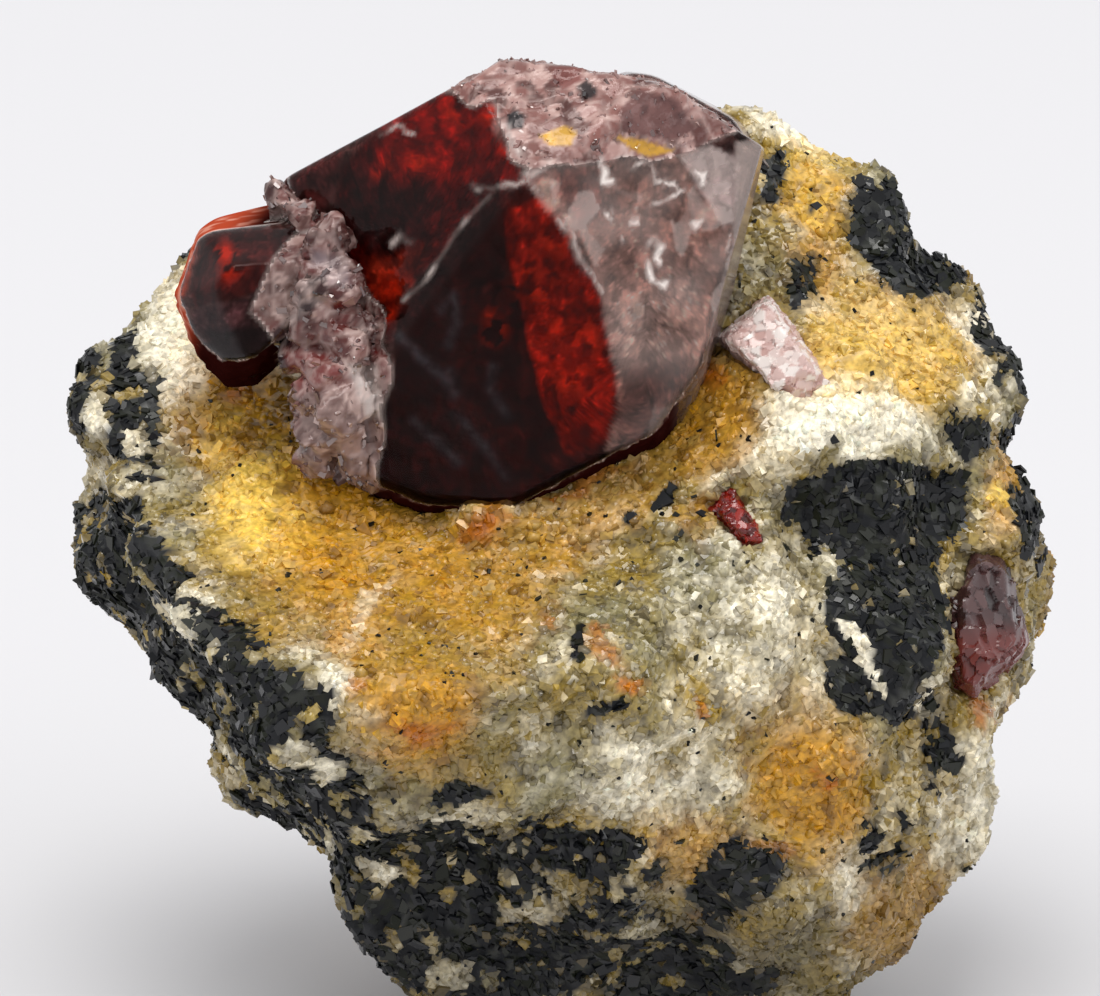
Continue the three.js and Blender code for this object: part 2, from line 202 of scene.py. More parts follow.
LEFT = [
    (161, 4, (-11.35, 8.2, 5.5)), (124, 8, (-10.7, 9.8, 5.5)), (97, 10, (-9.2, 10.15, 5.5)),
    (202, 4, (-11.2, 7.3, 5.5)), (228, 8, (-10.4, 6.1, 5.5)), (267, 10, (-9.5, 5.7, 5.5)),
    (310, 6, (-8.4, 6.3, 5.5)), (0, 0, (-7.0, 8, 5.5)), (255, 72, (-9.3, 8.0, 7.9)),
    (100, 42, (-9.0, 9.6, 7.2)), (165, 38, (-10.6, 8.4, 7.2)), (215, 40, (-10.2, 6.9, 7.0)),
    (0, -90, (-9, 8, 2.6)), (150, -40, (-10.6, 9.4, 3.6)),
]
BACK = [
    (84, 4, (2.6, 14.75, 0.6)), (62, 4, (4.4, 13.9, 0.6)), (35, 8, (6.0, 12.6, 0.6)),
    (350, 10, (6.3, 10, 0.6)), (120, 8, (0.8, 14.1, 0.6)), (182, 10, (-0.6, 11, 0.6)),
    (80, 50, (2.5, 12.6, 3.0)), (330, 55, (3.5, 11.0, 3.0)), (85, -45, (2.5, 13.6, -1.4)),
    (10, -40, (5.4, 11, -1.6)), (190, -40, (0.2, 11, -1.6)), (270, 0, (2.6, 5.6, 0)),
    (0, -90, (2.6, 10, -3.0)),
]

PINK = [
    (40, 8, (7.6, 6.0, 6.0)), (218, 8, (6.2, 5.0, 6.0)), (128, 6, (5.7, 7.3, 6.0)),
    (305, 6, (7.9, 4.3, 6.0)), (120, 60, (6.8, 5.7, 7.6)), (330, 50, (7.2, 5.4, 7.5)),
    (245, 55, (6.6, 5.0, 7.5)), (0, -90, (6.6, 6, 3.2)),
]
SMALL = [
    (38, 14, (5.9, 1.1, 8.0)), (218, 14, (5.2, 0.55, 8.0)), (128, 20, (4.8, 1.7, 8.0)),
    (308, 16, (6.2, 0.0, 8.0)), (70, 55, (5.5, 0.9, 8.9)), (250, 60, (5.55, 0.75, 8.85)),
    (0, -90, (5.6, 0.8, 6.2)),
]
RIGHT = [
    (15, 10, (13.6, -1.4, 3.5)), (62, 14, (13.2, -0.1, 3.5)), (150, 12, (12.2, -0.4, 4.0)),
    (190, 12, (11.6, -2.2, 4.0)), (245, 14, (12.2, -3.9, 4.0)), (318, 10, (13.1, -3.4, 3.5)),
    (20, 48, (12.9, -1.6, 4.6)), (210, 75, (12.5, -2.2, 5.2)), (0, -90, (12.7, -2, 1.6)),
]


def crystal_distance(points, faces, wear=0.05):
    """Outside distance to a convex crystal: the smooth most over its faces of n.(p - through)."""
    normals = np.stack([direction(around, out) for around, out, _ in faces])
    offsets = (normals * np.array([through for _, _, through in faces])).sum(1)
    return -smooth_least(-(points @ normals.T - offsets), wear)


SEAT_RISE, SEAT_WIDTH = 0.25, 0.8  # mm by which the rock climbs round the big crystals' feet
PIT_DEPTH, PIT_WIDTH = 0.8, 0.45  # mm, of the hollows that the single crystals stand in


def nearest(points, crystals):
    """Outside distance to the nearest of some crystals."""
    return np.minimum.reduce([crystal_distance(points, faces) for faces in crystals])


def cluster_distance(points):
    """Outside distance to the crystals that grew together."""
    return nearest(points, (LARGE, LEFT, BACK))


def joined(points, faces):
    """Points that lie on each other become one, so that the box's seams are closed."""
    rounded = np.round(points, 7)
    _, first, where = np.unique(rounded, axis=0, return_index=True, return_inverse=True)
    return points[first], where.reshape(-1)[faces]


def ball_net(count):
    """Unit rays to a cube's six gridded sides, spaced by equal angles, and the squares between."""
    steps = np.tan(np.linspace(-np.pi / 4, np.pi / 4, count + 1))
    s, t = np.meshgrid(steps, steps, indexing="ij")
    index = np.arange(s.size).reshape(s.shape)
    corners = [index[:-1, :-1], index[1:, :-1], index[1:, 1:], index[:-1, 1:]]
    rays, squares = [], []
    for axis in range(3):
        for sign in (-1, 1):
            side = np.full(s.shape + (3,), float(sign))
            side[..., (axis + 1) % 3], side[..., (axis + 2) % 3] = s, t
            squares.append(np.stack(corners[::sign], -1).reshape(-1, 4) + s.size * len(rays))
            rays.append(side.reshape(-1, 3))
    rays = np.concatenate(rays)
    return joined(rays / np.linalg.norm(rays, axis=1, keepdims=True), np.concatenate(squares))


def outward(points, faces):
    """Unit normals at the points of a net: the sum of its squares' normals."""
    a, b, c, d = (points[faces[:, i]] for i in range(4))
    square_normal = np.cross(c - a, d - b)
    normal = np.zeros_like(points)
    for i in range(4):
        np.add.at(normal, faces[:, i], square_normal)
    return normal / (np.linalg.norm(normal, axis=1, keepdims=True) + 1e-12)


def rock_surface(rays, squares):
    """Ray times the smooth most of the lobes' reaches, plus lumps, knobs and seats, and then the
    broken grain, straight out of that surface."""
    reaches = np.stack([lobe_reach(lobe, rays) for lobe in (BODY, RIDGE, FOOT)], -1)
    points = rays * -smooth_least(-reaches, LOBE_BLEND)[..., None]
    rise = lumps(points) + knobs(points) - GRAIN_ROOM
    away = cluster_distance(points) / SEAT_WIDTH
    rise += SEAT_RISE * np.exp(-away * away) * ease(points[..., 2], 0, 3)
    rise -= PIT_DEPTH * (1 - ease(nearest(points, (PINK, SMALL, RIGHT)), 0.0, PIT_WIDTH))
    points = points + rays * rise[..., None]
    fine = 0.6 * breaks(points, CLEAVED_GRAIN, 5)
    fine += 0.22 * patch(points, YELLOW) * np.abs(cloud(points, 0.8, 6))
    for seed, (size, height) in enumerate(BROKEN_GRAIN):
        fine += height * cloud(points, size, seed)
    normal = outward(points, squares)
    fine *= 0.25 + 0.75 * ease((normal * rays).sum(-1), 0.3, 0.7)  # a steep part has long squares
    points = points + normal * fine[..., None]
    below = points @ direction(270, -18)
    return points * np.minimum(1, MIDDLE_HEIGHT / np.maximum(below, 1e-6))[..., None]


def piece(name, points, faces, smooth=False):
    """A mesh object from row-frame points and an array of faces with equally many corners."""
    mesh = bpy.data.meshes.new(name)
    mesh.vertices.add(len(points))
    mesh.vertices.foreach_set("co", np.ascontiguousarray(points, np.float32).ravel())
    mesh.loops.add(faces.size)
    mesh.loops.foreach_set("vertex_index", np.ascontiguousarray(faces, np.int32).ravel())
    mesh.polygons.add(len(faces))
    mesh.polygons.foreach_set("loop_start", np.arange(0, faces.size, faces.shape[1]))
    mesh.polygons.foreach_set("use_smooth", np.broadcast_to(smooth, len(faces)))
    mesh.update(calc_edges=True)
    obj = bpy.data.objects.new(name, mesh)
    bpy.context.collection.objects.link(obj)
    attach(obj, "root")
    return obj


def paint(obj, name, values):
    """A value or a linear colour on each point, for the material to read."""
    kind = "FLOAT" if values.ndim == 1 else "FLOAT_COLOR"
    if values.ndim == 2:
        values = np.concatenate([values, np.ones((len(values), 1))], 1)
    attribute = obj.data.attributes.new(name, kind, "POINT")
    field = "value" if kind == "FLOAT" else "color"
    attribute.data.foreach_set(field, values.astype(np.float32).ravel())


def linear(code):
    """An sRGB hex code as linear red, green and blue."""
    value = np.array([int(code[i:i + 2], 16) for i in (1, 3, 5)]) / 255
    return np.where(value <= 0.04045, value / 12.92, ((value + 0.055) / 1.055) ** 2.4)


def material(name):
    """A new node material and its shader."""
    made = bpy.data.materials.new(name)
    made.use_nodes = True
    return made, made.node_tree.nodes["Principled BSDF"]


def node(made, kind, settings=(), links=()):
    """Adds a node with {setting or input: value} and {input: output linked to it}."""
    added = made.node_tree.nodes.new("ShaderNode" + kind)
    for key, value in dict(settings).items():
        if isinstance(key, str) and hasattr(added, key):
            setattr(added, key, value)
        else:
            added.inputs[key].default_value = value
    for key, output in dict(links).items():
        made.node_tree.links.new(output, added.inputs[key])
    return added


def painted(made, name):
    """The node that reads what `paint` put on the points."""
    return node(made, "Attribute", {"attribute_name": name})


def link(made, output, socket):
    """Links an output to a shader's socket."""
    made.node_tree.links.new(output, socket)


def settle(shader, values):
    """Sets the shader's own sockets."""
    for socket, value in values.items():
        shader.inputs[socket].default_value = value


# Stains and minerals of the rock, as soft ovals on the display face:
# (across, up, half width, half height, turn in degrees, strength)
OCHRE = [
    (-9.6, 5.0, 2.0, 3.0, 10, 0.9), (-6.6, 1.0, 3.2, 3.0, -40, 1.0),
    (-3.0, -0.6, 2.6, 2.4, 0, 0.85), (-4.2, -4.4, 1.9, 1.9, 0, 1.0),
    (4.2, 4.4, 2.4, 1.6, 45, 0.95), (1.4, 1.8, 2.6, 1.0, 20, 0.6), (9.9, 6.4, 2.6, 1.9, 10, 0.7),
    (7.7, 10.9, 1.2, 0.9, 0, 1.0), (7.6, 8.9, 1.2, 1.4, 0, 0.7), (7.4, -6.6, 1.6, 2.6, 10, 1.0),
    (4.0, -8.4, 1.8, 1.2, 0, 0.6), (13.4, 2.0, 1.0, 1.6, 0, 0.7),
    (10.2, -10.6, 2.0, 1.6, 30, 0.6), (-0.6, 0.6, 2.2, 0.7, 0, 0.7), (4.4, 1.2, 0.8, 0.8, 0, 0.6),
    (-5.6, -1.8, 1.4, 1.8, 0, 0.8),
]
YELLOW = [
    (-9.1, 1.7, 1.3, 1.3, 15, 1.0), (7.6, 12.1, 1.5, 0.8, 0, 0.4), (7.6, 10.8, 1.0, 0.6, 0, 0.5),
    (13.2, 2.0, 0.5, 0.6, 0, 0.9), (9.6, 6.3, 2.6, 1.6, 0, 0.5), (-9.4, 0.2, 1.2, 0.7, 0, 0.4),
    (-10.2, 3.6, 0.6, 0.9, 0, 0.4),
]
ORANGE = [
    (-2.3, 0.9, 0.8, 0.35, 0, 0.9), (-4.1, -5.2, 1.1, 0.35, 0, 0.8),
    (1.6, -2.5, 0.8, 0.3, -30, 0.7), (2.3, -3.4, 0.45, 0.3, 0, 1.0),
    (7.7, -6.4, 0.25, 0.4, 0, 1.0), (-9.8, 4.9, 0.4, 0.4, 0, 0.7),
    (4.6, -10.4, 0.7, 0.3, 20, 0.8), (6.1, -8.6, 0.5, 0.3, 0, 0.7), (4.0, -4.2, 0.2, 0.4, 0, 0.8),
    (0.8, 2.2, 1.8, 0.12, 22, 0.6), (4.4, 5.6, 0.4, 0.8, 0, 0.8), (-6.2, -3.9, 0.5, 0.3, 30, 0.7),
    (12.6, -4.4, 0.4, 0.5, 0, 0.8), (-0.6, -1.9, 0.4, 0.2, 0, 0.6),
]
WHITE = [
    (8.4, 4.3, 2.3, 1.1, -10, 1.3), (5.9, -1.2, 2.0, 2.2, 0, 0.5), (6.6, -3.2, 1.8, 1.6, 0, 0.45),
    (3.0, -6.2, 2.8, 1.4, 10, 0.45), (-11.6, 6.8, 1.1, 1.8, 0, 1.0),
    (-8.2, 5.6, 1.2, 0.6, 0, 0.5), (-10.6, -1.6, 1.2, 0.9, -40, 0.7),
    (8.9, -2.9, 0.4, 1.7, 35, 1.0), (12.6, -7.8, 1.6, 2.6, 0, 0.6), (7.4, 13.2, 1.6, 0.9, 0, 1.0),
    (12.5, 7.2, 0.7, 0.8, 0, 1.0), (-5.6, -1.4, 0.3, 1.6, -25, 0.6),
    (6.0, 3.4, 1.6, 0.9, 20, 0.6), (9.8, 6.8, 2.2, 1.2, 0, 0.4), (-7.0, -4.0, 0.6, 0.5, 0, 0.7),
    (8.4, -9.6, 0.8, 0.8, 0, 0.8),
]
MICA = [
    (9.2, 1.2, 2.2, 1.6, 0, 1.0), (8.0, 1.8, 1.3, 0.8, 0, 0.9), (10.1, -1.6, 1.1, 1.9, 10, 1.0),
    (9.9, -3.9, 1.0, 1.0, 0, 0.8), (8.6, -0.9, 0.7, 1.2, 15, 0.7),
    (10.2, 9.9, 1.7, 1.1, -50, 1.0), (12.0, 4.0, 0.75, 1.05, 20, 1.0),
    (-14.5, 5.8, 0.5, 0.7, 0, 1.0), (7.0, 8.3, 0.6, 1.0, 0, 0.6), (7.5, 10.7, 0.18, 0.18, 0, 1.0),
    (-12.9, 4.6, 0.8, 2.4, 10, 0.9), (-13.4, -0.2, 1.3, 2.6, 20, 1.0),
    (-11.6, -2.6, 1.5, 2.8, 40, 0.95), (-8.9, -4.6, 1.7, 2.6, 50, 0.95),
    (-7.6, -7.4, 2.2, 2.6, 30, 0.95), (-5.6, -10.4, 2.2, 3.0, 20, 0.95),
    (-9.2, -2.6, 0.9, 1.2, 40, 0.7), (-1.6, -12.0, 3.0, 2.0, 0, 0.85),
    (0.6, -8.6, 2.8, 0.9, -12, 0.75), (-3.6, -8.2, 1.6, 1.2, 0, 0.8),
    (5.2, -9.6, 1.6, 1.4, 40, 0.7), (3.6, -12.4, 3.0, 1.6, 0, 0.75),
    (9.6, -8.4, 1.0, 1.0, 0, 0.7), (11.4, -5.4, 0.6, 1.6, 0, 0.6), (14.3, 2.2, 0.8, 2.8, 0, 0.9),
    (13.7, 6.0, 0.75, 2.6, 25, 0.9), (14.4, -4.3, 0.5, 0.9, 0, 0.9),
    (-2.9, -6.9, 0.9, 0.6, 0, 0.7), (-3.0, -11.0, 3.4, 2.6, 0, 0.9),
    (1.0, -11.2, 3.0, 1.6, 0, 0.8), (6.4, 11.7, 0.4, 0.6, 0, 0.8), (-14.6, 5.0, 0.6, 2.0, 0, 0.7),
    (13.0, -10.0, 0.8, 2.0, 20, 0.5), (1.4, -4.4, 0.9, 0.35, 30, 0.7),
    (0.5, -2.4, 0.35, 0.4, 0, 0.8), (3.3, 1.9, 0.4, 0.35, 0, 0.8), (2.1, 1.6, 0.3, 0.3, 0, 0.8),
]
# Lumps of feldspar that stand in the mica
LUMPS_IN_MICA = [
    (-11.2, -1.9, 0.9, 0.55, -30, 1.0), (-7.5, -2.8, 0.5, 0.4, 0, 1.0),
    (-14.0, 4.2, 0.35, 0.8, 0, 1.0), (-14.0, 2.3, 0.5, 0.6, 0, 1.0),
    (-7.4, -6.0, 1.0, 0.5, -30, 1.0), (-2.7, -7.5, 0.7, 0.5, 0, 0.8),
    (-5.7, -4.7, 0.7, 0.4, 0, 0.9), (-12.6, 3.4, 0.4, 0.7, 10, 1.0),
    (8.9, -3.0, 0.25, 1.4, 35, 1.0), (8.0, -0.2, 0.3, 0.8, 25, 0.9),
    (10.9, -4.0, 0.25, 0.8, 10, 0.9), (-9.6, -6.0, 0.8, 0.35, -45, 0.9),
    (-5.4, -9.2, 0.9, 0.5, -20, 0.9), (-1.0, -10.2, 1.0, 0.45, 10, 0.9),
    (2.4, -11.0, 0.8, 0.4, 0, 0.8), (-7.2, -8.6, 0.5, 0.8, 20, 0.8),
    (12.8, 5.4, 0.25, 1.6, 20, 0.9), (-3.4, -12.4, 0.9, 0.5, 0, 0.8),
]
# The mica books' outlines on the display face
BOOKS = {
    "biotite_right": [
        (6.7, 2.2), (7.7, 2.5), (9.6, 3.1), (10.6, 2.9), (12.1, 2.6), (12.3, 1.1), (11.6, 0.4),
        (11.3, -0.6), (10.7, -1.4), (11.3, -2.6), (11.5, -4.4), (10.1, -5.0), (8.0, -4.3),
        (7.9, -3.3), (8.5, -2.6), (8.0, -1.6), (7.9, -0.3), (6.9, 1.0),
    ],
    "biotite_crest": [
        (9.0, 11.6), (10.6, 11.3), (11.9, 9.6), (12.6, 8.4), (10.9, 8.0), (9.7, 8.4), (8.7, 9.9),
        (8.8, 10.9),
    ],
    "biotite_rim": [
        (-13.6, 7.4), (-12.9, 7.4), (-12.9, 6.2), (-12.1, 5.4), (-11.9, 2.4), (-12.8, 2.2),
        (-13.6, 4.0), (-13.9, 5.6),
    ],
    "biotite_flank": [
        (-14.2, 1.7), (-12.6, 1.9), (-11.3, 0.1), (-9.8, -1.8), (-8.6, -3.2), (-7.6, -4.6),
        (-6.4, -6.2), (-6.9, -8.4), (-9.4, -7.2), (-11.6, -4.4), (-13.4, -1.4),
    ],
}
SHOWN = (-4.5, -1.5)  # mm out of the face: the display side begins between these
RAGGED = 0.55  # mm by which the ovals' edges are drawn in and out
MICA_FROM, MICA_TO = 0.42, 0.55  # the rock turns from feldspar to mica between these


def within(points, outline, soft=0.12):
    """1 inside an outline on the display face, 0 outside, with an edge 2 * soft wide."""
    spot = points[..., :2]
    corners = np.array(outline)
    closest = np.full(spot.shape[:-1], np.inf)
    inside = np.zeros(spot.shape[:-1], bool)
    for a, b in zip(corners, np.roll(corners, -1, axis=0)):
        along = ((spot - a) @ (b - a) / ((b - a) @ (b - a))).clip(0, 1)
        away = np.linalg.norm(spot - a - along[..., None] * (b - a), axis=-1)
        closest = np.minimum(closest, away)
        crosses = (a[1] > spot[..., 1]) != (b[1] > spot[..., 1])
        height = b[1] - a[1] if b[1] != a[1] else 1.0
        inside ^= crosses & (spot[..., 0] < (b[0] - a[0]) * (spot[..., 1] - a[1]) / height + a[0])
    return ease(np.where(inside, closest, -closest), -soft, soft)


def patch(points, ovals):
    """Most of strength * exp(-r^4) over ragged ovals, r in their half sizes; none at the back."""
    shift = [cloud(points, 1.7, 20 + k) + 0.6 * cloud(points, 0.6, 30 + k) for k in range(2)]
    across = points[..., 0] + RAGGED * shift[0]
    up = points[..., 1] + RAGGED * shift[1]
    most = np.zeros(points.shape[:-1])
    for middle, high, width, height, turn, strength in ovals:
        c, s = np.cos(np.radians(turn)), np.sin(np.radians(turn))
        x, y = across - middle, up - high
        away = ((x * c + y * s) / width) ** 2 + ((y * c - x * s) / height) ** 2
        most = np.maximum(most, strength * np.exp(-away * away))
    return most * ease(points[..., 2], *SHOWN)


def minerals(points):
    """Ochre, yellow, orange, white and mica, each from 0 to 1, at points of the rock."""
    back = 1 - ease(points[..., 2], *SHOWN)
    wild = cloud(points, 4.2, 40) + 0.5 * cloud(points, 1.8, 41)
    bands = cloud(points * np.array([0.45, 1.0, 1.0]), 2.4, 42) + 0.4 * cloud(points, 0.9, 43)
    ochre = np.maximum(patch(points, OCHRE), back * ease(wild, 0.1, 0.7))
    white = np.maximum(patch(points, WHITE), back * ease(-wild, 0.3, 0.9))
    mica = np.maximum(patch(points, MICA), back * 0.95 * ease(bands, 0.0, 0.35))
    ragged = points + 0.3 * cloud(points, 0.8, 45)[..., None]
    for outline in BOOKS.values():
        mica = np.maximum(mica, 0.75 * within(ragged, outline, 0.2) * ease(points[..., 2], -5, -3))
    lumps_there = patch(points, LUMPS_IN_MICA)
    frayed = 1 + 0.25 * cloud(points, 0.7, 44) + 0.3 * cloud(points, 0.38, 46)
    mica = mica * frayed * (1 - lumps_there)
    mixed = np.maximum(ease(-points[..., 0], 3, 6), ease(-points[..., 1], 4.5, 7))
    salt = mixed * ease(cloud(points, 0.55, 47), 0.32, 0.5)
    mica = mica * (1 - salt)
    white = np.maximum(white, 0.55 * lumps_there)
    return ochre, patch(points, YELLOW), patch(points, ORANGE), white, mica


GREY_FELDSPAR = linear("#857c56")
WARM_FELDSPAR = linear("#9c8030")
CLEAR_FELDSPAR = linear("#fff6de")
OCHRE_STAIN = linear("#c68c10")
OCHRE_PIT = linear("#6e4a14")
YELLOW_CRUST = linear("#f0c758")
ORANGE_STAIN = linear("#b4680f")
# The colour of the painted shade in the gaps and pits between grains.
PAINTED_GAP_SHADE = linear("#4a3f27")
BLACK_MICA = linear("#0e0f12")


def blend(colour, other, share):
    """Colour * (1 - share) + other * share, point by point."""
    return colour + (other - colour) * np.clip(share, 0, 1)[..., None]


def feldspar_colour(points, stray=0.0):
    """Grey feldspar towards warm, white, ochre, yellow and orange by the minerals there."""
    ochre, yellow, orange, white, mica = minerals(points)
    warm = cloud(points, 2.2, 51) + 0.5 * cloud(points, 0.8, 52)
    patches = 0.5 + 0.4 * cloud(points, 1.1, 50) + 0.35 * cloud(points, 0.5, 55) + stray
    colour = blend(np.broadcast_to(GREY_FELDSPAR, points.shape), WARM_FELDSPAR, 0.5 + 0.7 * warm)
    colour = blend(colour, CLEAR_FELDSPAR, 1.1 * white + 0.75 * patches - 0.3)
    fine = cloud(points, 0.42, 53) + 0.7 * cloud(points, 0.22, 54) + stray
    # Painted shade: gaps and pits between the grains darkened, placed by noise.
    colour = blend(colour, PAINTED_GAP_SHADE, 0.75 * ease(fine, 0.1, 0.75) * (1 - 0.8 * white))
    colour = blend(colour, OCHRE_STAIN, ochre * (0.62 + 0.55 * patches) * (1 - 0.6 * white))
    colour = blend(colour, YELLOW_CRUST, 1.3 * yellow)
    pitted = ease(fine, 0.15, 0.8) * np.maximum(0.75 * ochre, 0.6 * yellow)
    colour = blend(colour, OCHRE_PIT, pitted * (1 - 0.7 * white))
    colour = blend(colour, ORANGE_STAIN, 1.1 * orange * (0.7 + 0.5 * patches))
    # Darker near the mica and towards the bottom, in the painted shade colour.
    dim = 0.6 * ease(mica, 0.1, 0.5) + 0.4 * ease(-points[:, 1], 8, 11)
    return blend(colour, PAINTED_GAP_SHADE, dim * (1 - 0.5 * white))


rays, rock_squares = ball_net(ROCK_PANEL)
rock_points = rock_surface(rays, rock_squares)
rock = piece("rock", to_row(rock_points), rock_squares)
_, own_grain, _ = cells(rock_points, CLEAVED_GRAIN, 5)
gap_colour = feldspar_colour(rock_points, 0.4 * (own_grain - 0.5))
mica_share = ease(minerals(rock_points)[4], MICA_FROM - 0.05, MICA_FROM + 0.05)
paint(rock, "grain_colour", blend(gap_colour, BLACK_MICA, mica_share))
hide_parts("matrix")

matt = 0.8 * np.maximum(*minerals(rock_points)[:2]) + 0.5 * (own_grain - 0.5)
paint(rock, "stained", matt.clip(0, 1))

# Sugary feldspar: clear to milky grains with good cleavage, glassy where fresh and dull where the
# iron stain coats them, so only the fresh ones glint.
sugar, shader = material("sugary_feldspar")
tint = painted(sugar, "grain_colour")
coat = painted(sugar, "stained")
dull = node(sugar, "MapRange", {"To Min": 0.06, "To Max": 0.5}, {"Value": coat.outputs["Fac"]})
spot = node(sugar, "TexCoord")
cloudy = node(sugar, "TexNoise", {"Scale": 5500, "Detail": 2}, {"Vector": spot.outputs["Object"]})
mottle = node(
    sugar, "MapRange", {"From Min": 0.3, "From Max": 0.7, "To Min": 0.65, "To Max": 1.25},
    {"Value": cloudy.outputs["Fac"]},
)
mottled = node(
    sugar, "VectorMath", {"operation": "SCALE"},
    {0: tint.outputs["Color"], "Scale": mottle.outputs["Result"]},
)
link(sugar, mottled.outputs["Vector"], shader.inputs["Base Color"])
link(sugar, dull.outputs["Result"], shader.inputs["Roughness"])
settle(shader, {"IOR": 1.53})
rock.data.materials.append(sugar)

# ---- The sugary grains ----
# The rock breaks between and through its feldspar grains, so it is covered with small worn
# blocks, 0.1 to 0.3 mm across, which are glassy where they are fresh and matt where stained.

GRAIN_PLACES = 46000  # spread evenly over the rock; those in mica and some behind are left out
GRAIN_SIZE = 0.19  # mm, the middle of the range on the display face
GRAIN_SPREAD = 0.32
GRAIN_LIMITS = (0.1, 0.3)  # mm
GRAINS_IN_PIECE = 16000
rng = np.random.default_rng(7)


def places_on_rock(count):
    """Points spread evenly over the rock, the more the larger a square, and the normals there."""
    a, b, c, d = (rock_points[rock_squares[:, i]] for i in range(4))
    area = np.linalg.norm(np.cross(c - a, d - b), axis=1)
    chosen = rng.choice(len(area), count, p=area / area.sum())
    s, t = rng.random((2, count, 1))
    low, high = a[chosen] * (1 - s) + b[chosen] * s, d[chosen] * (1 - s) + c[chosen] * s
    normal = outward(rock_points, rock_squares)[rock_squares[chosen]].mean(1)
    return low * (1 - t) + high * t, normal / np.linalg.norm(normal, axis=1, keepdims=True)


def turned(normal, tilt):
    """Three unit axes for each place: the third near the normal, leaning by up to `tilt`."""
    third = normal + tilt * rng.normal(size=normal.shape)
    third /= np.linalg.norm(third, axis=1, keepdims=True)
    first = np.cross(third, rng.normal(size=normal.shape))
    first /= np.linalg.norm(first, axis=1, keepdims=True)
    return np.stack([first, np.cross(third, first), third], 1)


BLOCK = np.array(list(np.ndindex(2, 2, 2))) - 0.5  # a block's eight corners
BLOCK_SIDES = np.array([
    (0, 1, 3, 2), (4, 6, 7, 5), (0, 4, 5, 1), (2, 3, 7, 6), (0, 2, 6, 4), (1, 5, 7, 3),
])
BLOCK_FACES = np.concatenate([BLOCK_SIDES[:, [0, 1, 2]], BLOCK_SIDES[:, [0, 2, 3]]])


def scattered(shapes, faces, place, axes):
    """Every shape's corners along its own axes at its own place, and all the faces together."""
    corners = place[:, None] + np.einsum("nck,nkd->ncd", shapes, axes)
    count, per = shapes.shape[:2]
    every = faces + per * np.arange(count)[:, None, None]
    return corners.reshape(-1, 3), every.reshape(-1, faces.shape[1])


def uneven_blocks(size):
    """Blocks of the given sizes, each side and corner a little off square."""
    shape = BLOCK * (1 + 0.18 * rng.normal(size=(len(size), 1, 3))).clip(0.65, 1.4)
    return (shape + 0.09 * rng.normal(size=(len(size), 8, 3))) * size[:, None, None]


place, normal = places_on_rock(GRAIN_PLACES)
ochre, yellow, orange, white, mica_here = minerals(place)
standing = place @ direction(270, -18) < MIDDLE_HEIGHT - 0.45
fresh = mica_here < MICA_FROM + (MICA_TO - MICA_FROM) * rng.random(len(place))
fresh |= rng.random(len(place)) < 0.05
fresh &= rng.random(len(place)) < 0.55 + 0.45 * ease(place[:, 2], -5, -2)
keep = standing & fresh & (cluster_distance(place) > -0.05)
keep &= nearest(place, (PINK, SMALL, RIGHT)) > 0.06
place, normal, white, yellow, ochre = (v[keep] for v in (place, normal, white, yellow, ochre))
size = GRAIN_SIZE * np.exp(GRAIN_SPREAD * rng.normal(size=len(place)))
size *= (np.linalg.norm(place, axis=1) / 8.5).clip(1, 1.2) * (1 + 0.15 * white - 0.2 * yellow)
size = size.clip(*GRAIN_LIMITS)
sunk = place - normal * ((0.35 * rng.random(len(place)) + 0.2) * size)[:, None]
colour = feldspar_colour(place, rng.normal(size=len(place)) * 0.24)
colour = colour * np.exp(0.1 * rng.normal(size=(len(place), 1)))
matt = (0.8 * np.maximum(ochre, yellow) + 0.25 * rng.normal(size=len(place))).clip(0, 1)

for number, start in enumerate(range(0, len(place), GRAINS_IN_PIECE)):
    part = slice(start, start + GRAINS_IN_PIECE)
    blocks = uneven_blocks(size[part])
    corners, faces = scattered(blocks, BLOCK_FACES, sunk[part], turned(normal[part], 3.0))
    worn = np.repeat(rng.random(len(blocks)) < 0.45, len(BLOCK_FACES))
    grains = piece(f"feldspar_grains_{number + 1}", to_row(corners), faces, smooth=worn)
    paint(grains, "grain_colour", np.repeat(colour[part], 8, axis=0).clip(0, 1))
    paint(grains, "stained", np.repeat(matt[part], 8))
    grains.data.materials.append(sugar)

# ---- The black mica ----
# Biotite: black, very flaky. It sits in the rock as books, stacks of thin leaves that split and
# fray when the rock breaks. The leaves of one book lie one way and shine together.

LEAF_PLACES = 38000  # spread evenly over the rock; those in mica carry a leaf
LONE_SHARE = 0.04
LEAF_WIDTH = 0.26
LEAF_THICKNESS = 0.07
LEAF_CORNERS = 4
SHINE = 0.8  # the most that a clean leaf flashes; few come near it
BOOK_SIZE = 2.4  # mm, across one book


def leaves(width, thick):
    """Uneven four-cornered plates: two rings of corners, the upper a little smaller."""
    count = len(width)
    steps = np.arange(LEAF_CORNERS) + 0.5 * rng.random((count, LEAF_CORNERS))
    angle = 2 * np.pi * steps / LEAF_CORNERS
    reach = width[:, None] * (0.42 + 0.3 * rng.random((count, LEAF_CORNERS)))
    stretch = 1 + 0.6 * rng.random((count, 1))
    ring = np.stack([reach * np.cos(angle) * stretch, reach * np.sin(angle)], -1)
    height = np.broadcast_to(thick[:, None, None] / 2, ring[..., :1].shape)
    low = np.concatenate([ring, -height], -1)
    return np.concatenate([low, np.concatenate([ring * 0.93, height], -1)], 1)


def leaf_faces():
    """Fans for the two ends of a plate and two triangles for each of its edges."""
    n = LEAF_CORNERS
    fan = [(0, i, i + 1) for i in range(1, n - 1)]
    ends = [(n + a, n + b, n + c) for a, b, c in fan] + [(a, c, b) for a, b, c in fan]
    rim = [(i, (i + 1) % n, n + (i + 1) % n) for i in range(n)]
    rim += [(i, n + (i + 1) % n, n + i) for i in range(n)]
    return np.array(ends + rim)


